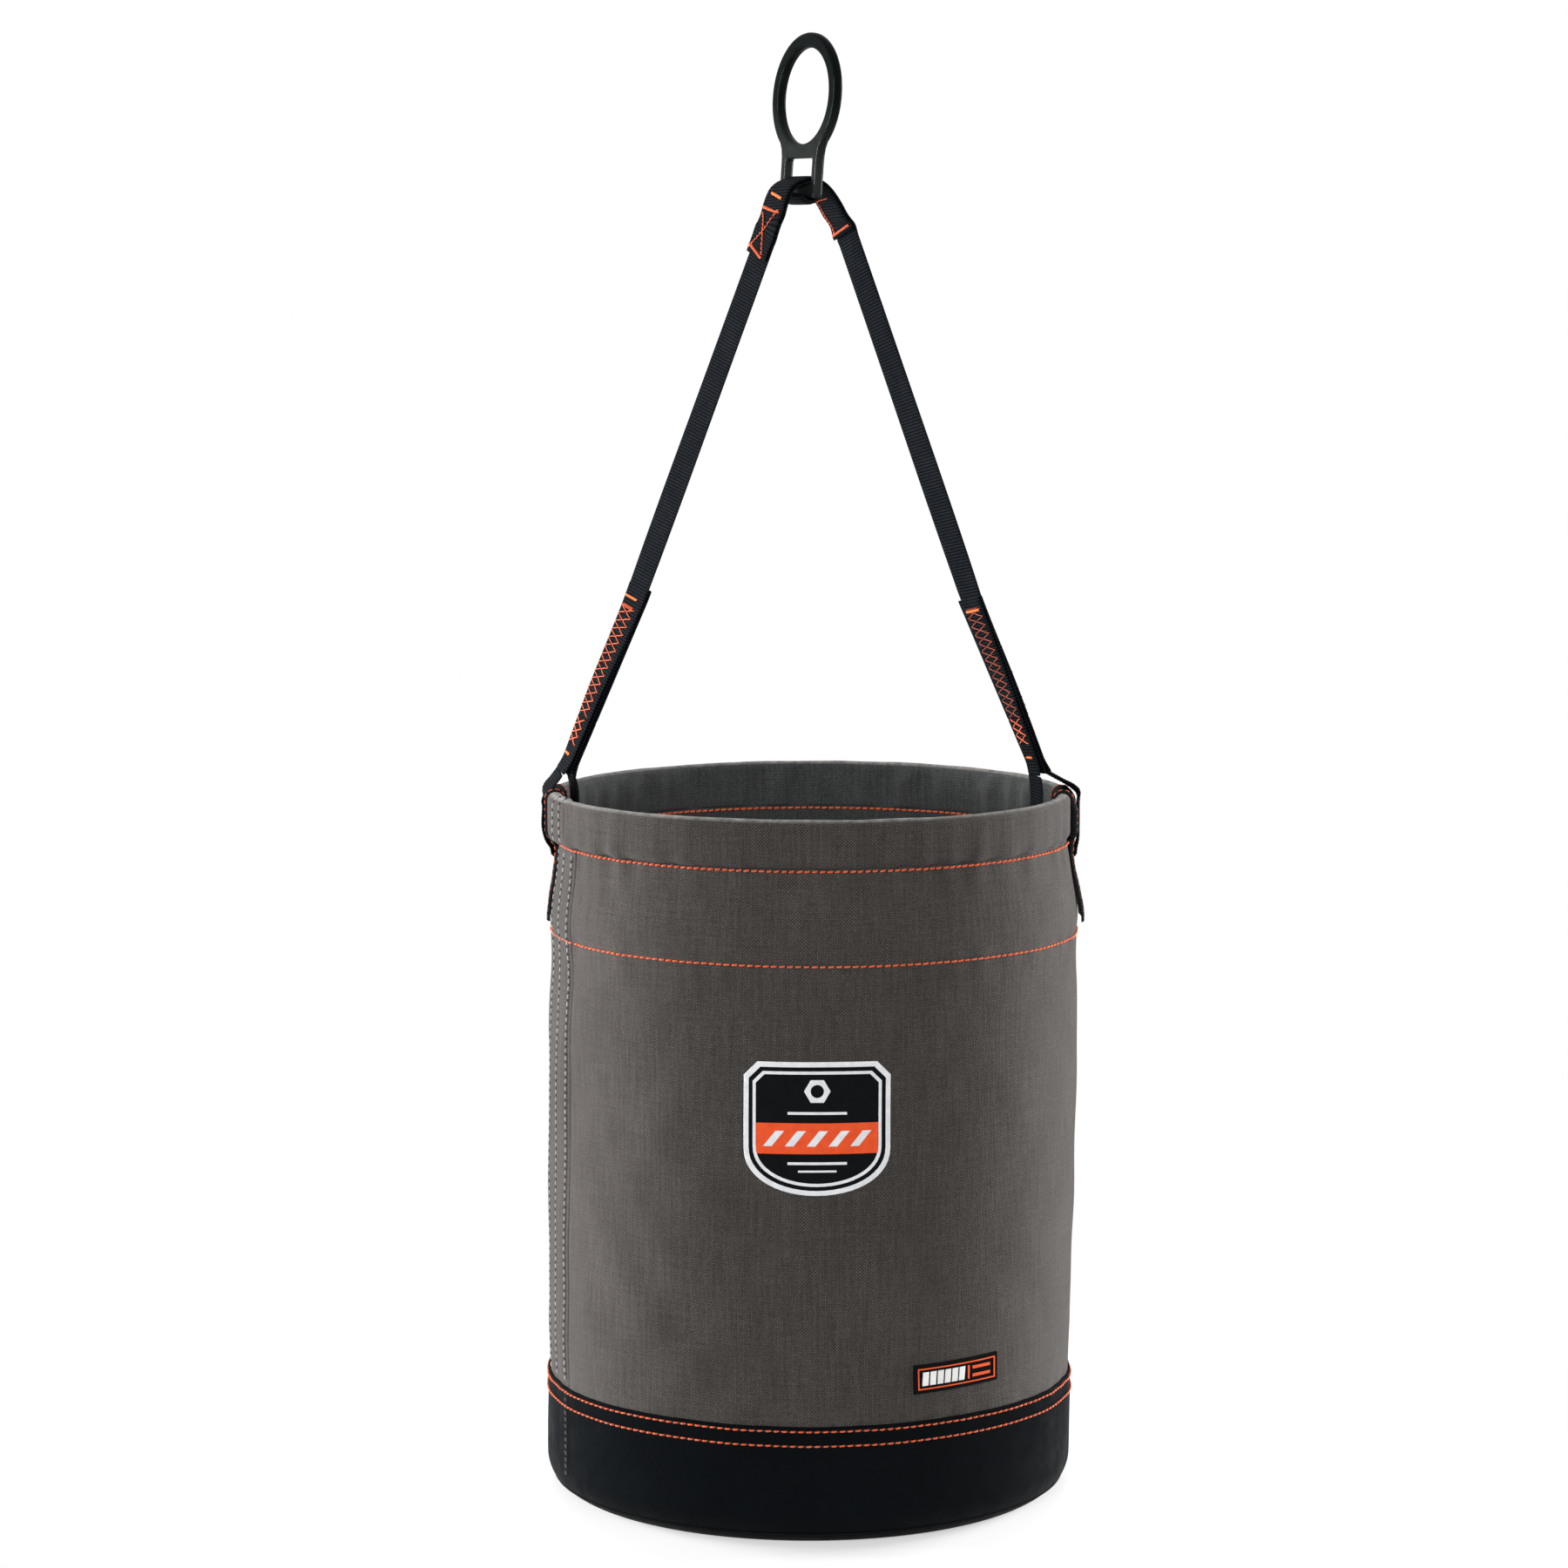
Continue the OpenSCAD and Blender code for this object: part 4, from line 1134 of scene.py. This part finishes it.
def lap_stitches():
    """Two crossing zigzags on both faces of each lap, with a tack at each end."""
    face = PLY + WEB_T / 2
    for side, s, ribbon in LEGS:
        shift = 2.0 * s
        lap, flex = ribbon.part(s, FLEX_Z + 0.5, LAP_Z - 6), ribbon.part(s, FLEX_Z - 17, FLEX_Z + 0.5)
        sewn, low, tacks, low_tacks = [], [], [], []
        for off in (face, -face):
            for k in (0, 1):
                sewn.append(zigzag(ribbon, lap, ZIGZAG_W, shift, off, ZIGZAG_PERIOD, k, 81 + k))
                low.append(zigzag(ribbon, flex, ZIGZAG_W - 2, shift, off, ZIGZAG_PERIOD, k, 83 + k))
            sewn.append(tack(ribbon, s, LAP_Z - 6.5, 13, shift, off, 2.4, 1.3))
            tacks.append(tack(ribbon, s, LAP_Z - (0.8 if s < 0 else 7.5), 15, shift, off, 1.6))
            low_tacks.append(tack(ribbon, s, FLEX_Z - 23, 10, shift, off, 1.6))
        size, thread = (0.27, ORANGE) if s < 0 else (0.22, SHADE_ORANGE)
        sew("lap_stitches_" + side, sewn, size, thread, nodes=["lap_thread_" + side], body="bail")
        sew("lap_tacks_" + side, tacks, 0.42, TACK_ORANGE, body="bail")
        bend(sew("flex_stitches_" + side, low, 0.36, ORANGE, body=None))
        bend(sew("flex_tacks_" + side, low_tacks, 0.36, TACK_ORANGE, body=None))


def top_stitches():
    """The sewn ends below the ring: an hourglass on the left outer face, bars and a line on the right."""
    face = WEB_T / 2
    left, right = OUTER_PLY, INNER_PLY
    bottom, top = END_LEFT_Z + 2.5, BAR_Z - 12.5
    hourglass = [tack(left, -1, top, 20, 0, face, 1.6, slope=-0.28),
                 tack(left, -1, bottom, 19, -1, face, 1.7, slope=-0.2),
                 cross_line(left, -1, (bottom, -10), (top, 9), face, 3.0, 91),
                 cross_line(left, -1, (bottom, 8), (top, -9), face, 3.0, 92)]
    sew("top_stitches_left", hourglass, 0.40, ORANGE, nodes=["top_thread_left"], body="bail")
    bright = tack(left, -1, BAR_Z - 4, 13, 2, face, 1.9, slope=-0.31)
    sew("top_tack_left", [bright], 0.50, TACK_ORANGE, body="bail")
    low, high = END_RIGHT_Z + 2.5, BAR_Z - 5
    bars = [tack(right, 1, low, 20, 0, -face, 1.7),
            cross_line(right, 1, (low, -8), (high, -8), -face, 2.2, 93),
            cross_line(right, 1, (high, -9), (high + 1, 6), -face, 1.6, 94)]
    sew("top_stitches_right", bars, 0.38, ORANGE, nodes=["top_thread_right"], body="bail")


# ---------- Ring ----------

EYE_R = 28.4
EYE_BAND = 9
RING_T = 6
SLOT_HALF = 14.5
POST_W = 7.2
EYE_RISE = 27.9 + EYE_R             # from the bar's axis to the centre of the eye
SLOT_TOP = BAR_R + 15
RING_LEAN = 4.3                     # the ring hangs a little towards +X


def on_bar(along, through, up):
    """Points from the ring's own directions: along the bar, through the plate, and up it."""
    lean, turn = math.radians(RING_LEAN), math.radians(RING_TURN - 90)
    y = through * math.cos(lean) + up * math.sin(lean)
    z = up * math.cos(lean) - through * math.sin(lean)
    return np.stack([along * math.cos(turn) - y * math.sin(turn) + BAR_X,
                     along * math.sin(turn) + y * math.cos(turn), z + BAR_Z], -1)


def ring_outline():
    """Half of the plate's outline as (along the bar, up), from the slot's top middle outwards."""
    inner, outer = SLOT_HALF, SLOT_HALF + POST_W
    slot = [(0, SLOT_TOP)] + arc((inner - 2, SLOT_TOP - 2), 2, 90, 0, 5).tolist() + [(inner, -BAR_R + 2)]
    foot = arc((inner + 2, -BAR_R + 2), 2, 180, 270, 5).tolist()
    heel = arc((outer - 2.5, -BAR_R + 2.5), 2.5, 270, 360, 6).tolist()
    neck = [(outer, SLOT_TOP - 4), (outer + 0.2, SLOT_TOP + 1), (outer + 1.1, SLOT_TOP + 5.5),
            (outer + 3.1, SLOT_TOP + 9.2)]
    return slot + foot + heel + neck + arc((0, EYE_RISE), EYE_R + EYE_BAND, -47, 90, 40).tolist()


def flat_curve(name, outlines, thick, bevel):
    """A plate with rounded edges from closed outlines, the later ones cut as holes, as a mesh."""
    curve = bpy.data.curves.new(name, "CURVE")
    curve.dimensions, curve.fill_mode = "2D", "BOTH"
    curve.extrude, curve.bevel_depth, curve.bevel_resolution = (thick / 2 - bevel) * MM, bevel * MM, 5
    curve.offset = -bevel * MM
    for outline in outlines:
        spline = curve.splines.new("POLY")
        spline.points.add(len(outline) - 1)
        for point, (x, y) in zip(spline.points, outline):
            point.co = (x * MM, y * MM, 0, 1)
        spline.use_cyclic_u = True
    holder = in_scene(name + "_outline", curve)
    shown = holder.evaluated_get(bpy.context.evaluated_depsgraph_get())
    mesh = bpy.data.meshes.new_from_object(shown)
    bpy.data.objects.remove(holder)
    return mesh


def set_points(mesh, points):
    """Puts the corners of a mesh at points in millimetres."""
    mesh.vertices.foreach_set("co", (points * MM).astype(np.float32).ravel())


def smooth_piece(name, mesh, material, angle):
    """An object of a mesh with its doubles merged, smooth but for edges sharper than an angle."""
    with editing(mesh) as whole:
        bmesh.ops.remove_doubles(whole, verts=whole.verts, dist=1e-6)
        bmesh.ops.recalc_face_normals(whole, faces=whole.faces)
    mesh.shade_smooth()
    mesh.set_sharp_from_angle(angle=math.radians(angle))
    mesh.materials.clear()
    mesh.materials.append(material)
    return in_scene(name, mesh)


def ring_parts():
    half = ring_outline()
    outline = half + [(-x, y) for x, y in half[-2:0:-1]]
    eye = arc((0, EYE_RISE), EYE_R, 0, 356.25, 96).tolist()
    mesh = flat_curve("ring_forging", (outline, eye), RING_T, 2.4)
    x, y, z = np.array([v.co for v in mesh.vertices]).T / MM
    set_points(mesh, on_bar(x, -z, y))
    ring = smooth_piece("ring_forging", mesh, RING_COAT, 32)
    even = ring.modifiers.new("even_shading", "WEIGHTED_NORMAL")
    even.keep_sharp = True
    place(ring, "ring_metal", ["ring_plate"], "ring")
    place(ring_bar(), "ring_metal", [], "ring")


def ring_bar():
    """The round bar under the slot, swelling into a fillet at each post."""
    far = SLOT_HALF + POST_W - 1.5
    x = np.concatenate([np.linspace(-far, -SLOT_HALF + 2.5, 9), np.linspace(SLOT_HALF - 2.5, far, 9)])
    radius = BAR_R - 0.2 + 0.35 * np.clip((np.abs(x) - SLOT_HALF + 2.5) / 3, 0, 1) ** 2
    turn = np.arange(32) * TAU / 32
    flat = np.minimum(np.abs(radius[:, None] * np.sin(turn)), RING_T / 2 - 0.05) * np.sign(np.sin(turn))
    surface = on_bar(np.broadcast_to(x[:, None], flat.shape), flat, radius[:, None] * np.cos(turn))
    return grid("ring_bar", surface, x, np.linspace(0, TAU * BAR_R, 33), RING_COAT, ring_v=True)


# ---------- Badge and label ----------

LONGEST = 6                         # longer edges are cut up, to follow the wall
LABEL_W, LABEL_TILT = 59, 1.2


def wrapped(name, outlines, middle, off, thick, bevel, material, spin=0.0):
    """A thin raised shape with rounded edges, laid on the wall. Outlines are (across, up)."""
    mesh = flat_curve(name, outlines, thick, bevel)
    with editing(mesh) as whole:
        bmesh.ops.triangulate(whole, faces=[f for f in whole.faces if len(f.verts) > 4])
        for _ in range(3):
            long_edges = [e for e in whole.edges if e.calc_length() > LONGEST * MM]
            bmesh.ops.subdivide_edges(whole, edges=long_edges, cuts=1)
            bmesh.ops.triangulate(whole, faces=[f for f in whole.faces if len(f.verts) > 4])
    points = np.array([v.co for v in mesh.vertices]) / MM
    turn = math.radians(spin)
    x = points[:, 0] * math.cos(turn) - points[:, 1] * math.sin(turn)
    z = points[:, 0] * math.sin(turn) + points[:, 1] * math.cos(turn) + middle[1]
    set_points(mesh, on_wall(middle[0] + np.degrees(x / WALL_R), z, off + thick / 2 + points[:, 2]))
    layer = mesh.uv_layers.new(name="cloth")
    corners = np.zeros(len(mesh.loops), np.int32)
    mesh.loops.foreach_get("vertex_index", corners)
    layer.data.foreach_set("uv", (np.column_stack([x, z]) * MM)[corners].astype(np.float32).ravel())
    return smooth_piece(name, mesh, material, 50)


def inset_shield(width, height, inset):
    """A plain shield: level top with cut corners, straight sides, and a foot that comes to a point."""
    w, h = width / 2 - inset, height / 2 - inset
    cut = 8 - inset * 0.4
    foot = [(w * math.cos(t), -h * (0.30 + 0.70 * math.sin(t) ** 0.9))
            for t in np.linspace(0.001, math.pi / 2, 14)]
    right = [(w - cut, h), (w, h - cut)] + foot
    return right + [(-x, y) for x, y in right[::-1]][1:]


def ngon(middle, radius, sides, start=0.0):
    return [(middle[0] + radius * math.cos(start + TAU * k / sides),
             middle[1] + radius * math.sin(start + TAU * k / sides)) for k in range(sides)]


def bar(x0, x1, y0, y1):
    return [(x0, y0), (x1, y0), (x1, y1), (x0, y1)]


def slanted_bars(count, pitch, wide, tall, y):
    """A row of plain slanted bars across the badge, centred at height y."""
    slant = tall * 0.4
    return [[(x + side * slant + edge * wide / 2, y + side * tall / 2)
             for side, edge in ((-1, -1), (-1, 1), (1, 1), (1, -1))]
            for x in (np.arange(count) - (count - 1) / 2) * pitch]


def badge_parts():
    """A shield patch: white border, black field, a band of slanted stripes, a nut and plain lines."""
    low, high = node_box("badge_patch")
    width, height = high[0] - low[0], high[2] - low[2]
    middle = (math.degrees((low[0] + high[0]) / 2 / WALL_R), (low[2] + high[2]) / 2)
    shield = {inset: inset_shield(width, height, inset) for inset in (0, 3.0, 5.4, 7.2)}
    border = wrapped("badge_border", (shield[0],), middle, 0.1, 1.1, 0.45, BADGE_WHITE)
    place(border, "badge_cloth", ["badge_patch"])
    lines = (bar(-17, 17, 8.4, 10.0), bar(-17, 17, -20.8, -19.2), bar(-11, 11, -25.2, -24.0))
    for name, outlines, rise, material in (
            ("field", (shield[3.0],), 0.25, BADGE_BLACK),
            ("line", (shield[5.4], shield[7.2]), 0.45, BADGE_WHITE),
            ("band", (bar(-35.2, 35.2, -14.5, 3.5),), 0.45, BADGE_ORANGE),
            ("nut", (ngon((0, 22), 7.6, 6), ngon((0, 22), 3.8, 24)), 0.45, BADGE_WHITE),
            ("stripes", slanted_bars(5, 12.5, 5.0, 9.0, -5.5), 0.70, BADGE_WHITE),
            ("lines", lines, 0.45, BADGE_WHITE)):
        piece = wrapped("badge_" + name, outlines, middle, 0.95 + rise - 0.25, 0.4, 0.12, material)
        place(piece, "badge_cloth")


def label_parts():
    """A small moulded rubber label: black field, raised orange frame, and plain blocks."""
    low, high = node_box("rubber_label")
    angle = math.degrees(math.atan2((low[0] + high[0]) / 2, -(low[1] + high[1]) / 2))
    middle = (angle, (low[2] + high[2]) / 2)
    w, h = LABEL_W / 2, (high[2] - low[2]) / 2
    plate = wrapped("label_plate", (bar(-w, w, -h, h),), middle, 0.1, 1.5, 0.5, RUBBER, LABEL_TILT)
    place(plate, "label_rubber", ["rubber_label"])
    lines = (bar(-w + 2.5, w - 2.5, -h + 2.2, h - 2.2), bar(-w + 3.3, w - 3.3, -h + 3.0, h - 3.0))
    blocks = [[(x, -4.0), (x + 3.9, -4.0), (x + 4.5, 4.0), (x + 0.6, 4.0)]
              for x in -w + 5.2 + np.arange(6) * 4.9]
    marks = [bar(6.6, 7.8, -4, 4)] + [bar(10.0, 23.2, y - 0.9, y + 0.9) for y in (2.4, -2.4)]
    for name, outlines, thick, bevel, material in (("frame", lines, 0.6, 0.2, RUBBER_ORANGE),
                                                   ("blocks", blocks, 0.5, 0.15, RUBBER_WHITE),
                                                   ("marks", marks, 0.5, 0.15, RUBBER_ORANGE)):
        piece = wrapped("label_" + name, outlines, middle, 1.45, thick, bevel, material, LABEL_TILT)
        place(piece, "label_rubber")


# ---------- CAD nodes that stay ----------

def carried_nodes():
    for node, material in (("rim_hoop", HOOP_PLASTIC), ("base_plate", BASE_PLASTIC)):
        piece = frame["nodes"][node]
        piece.data.materials.clear()
        piece.data.materials.append(material)


# ---------- Stage ----------

def camera():
    data = bpy.data.cameras.new("camera")
    data.lens, data.sensor_width = 104.94, 36
    data.clip_start, data.clip_end = 0.05, 50
    eye = in_scene("camera", data)
    eye.location = (-0.0148, -2.741, 0.7447)
    tilt_down = 0.115
    eye.rotation_euler = (math.pi / 2 - tilt_down, 0, 0)
    bpy.context.scene.camera = eye


def area_light(name, azimuth, distance, height, size, power, aim=0.2, shine=True):
    """A soft box at an angle from the front towards +X, turned to the object. Without shine it lights the
    cloth but is not mirrored in the shiny parts."""
    data = bpy.data.lights.new(name, "AREA")
    data.shape, data.size, data.size_y, data.energy = "RECTANGLE", size[0], size[1], power
    lamp = in_scene(name, data)
    turn = math.radians(azimuth)
    lamp.location = (distance * math.sin(turn), -distance * math.cos(turn), height)
    back = lamp.location.copy()
    back.z -= aim
    lamp.rotation_mode = "QUATERNION"
    lamp.rotation_quaternion = back.to_track_quat("Z", "Y")
    lamp.visible_glossy = shine


def lights():
    area_light("box_left", -111, 2.6, 0.42, (1.3, 0.78), 225, shine=False)
    area_light("box_right", 123, 2.6, 0.42, (1.3, 0.78), 235, shine=False)
    area_light("front_fill", -6, 3.4, 1.3, (1.6, 1.2), 100, aim=1.0, shine=False)
    area_light("top_fill", 180, 0.9, 2.2, (1.4, 1.4), 30, aim=1.8, shine=False)
    area_light("strip_left", -82, 1.8, 0.9, (0.12, 0.9), 7)
    area_light("strip_right", 100, 1.8, 0.9, (0.12, 0.9), 7)


def world():
    """A white room: bright where it is seen, dimmer as a light so that the soft boxes shape the cloth."""
    scene_world = bpy.data.worlds.new("white_room")
    scene_world.use_nodes = True
    tree = scene_world.node_tree
    ground = tree.nodes["Background"]
    ground.inputs[0].default_value = (1, 1, 1, 1)
    seen = tree.nodes.new("ShaderNodeLightPath")
    strength = tree.nodes.new("ShaderNodeMapRange")
    strength.inputs[3].default_value = 0.32
    strength.inputs[4].default_value = 1.0
    tree.links.new(seen.outputs["Is Camera Ray"], strength.inputs[0])
    tree.links.new(strength.outputs[0], ground.inputs[1])
    bpy.context.scene.world = scene_world


def floor():
    """A pale round floor that fades out into the white room."""
    far, low = 1500, -0.4
    corners = [(-far, -far, low), (far, -far, low), (far, far, low), (-far, far, low)]
    corners_uv = [(0, 0), (1, 0), (1, 1), (0, 1)]
    new_piece("floor", corners, [(0, 1, 2, 3)], corners_uv, floor_material())


def floor_material():
    r = Recipe("floor_white", Base_Color=rgb(0.9, 0.9, 0.9), Roughness=0.8, Specular_IOR_Level=0.1)
    far = r.add("ShaderNodeVectorMath", r.place(), operation="LENGTH").outputs["Value"]
    fade = r.spread(far, 0.18, 0.50, 0.50, 1.0)
    clear = r.add("ShaderNodeBsdfTransparent").outputs[0]
    both = r.add("ShaderNodeMixShader", fade, r.shader.outputs[0], clear).outputs[0]
    r.put(r.tree.nodes["Material Output"].inputs[0], both)
    return r.material


for part in (camera, lights, world, floor, canvas_parts, rim_parts, side_lap, boot_parts, lining_parts,
             round_seams, side_rows, boot_row, saddle_patches, rim_loops, bail_straps, bar_lining,
             bail_laps, lap_stitches, top_stitches, ring_parts, badge_parts, label_parts, carried_nodes):
    part()
bpy.context.scene.view_settings.view_transform = "Standard"
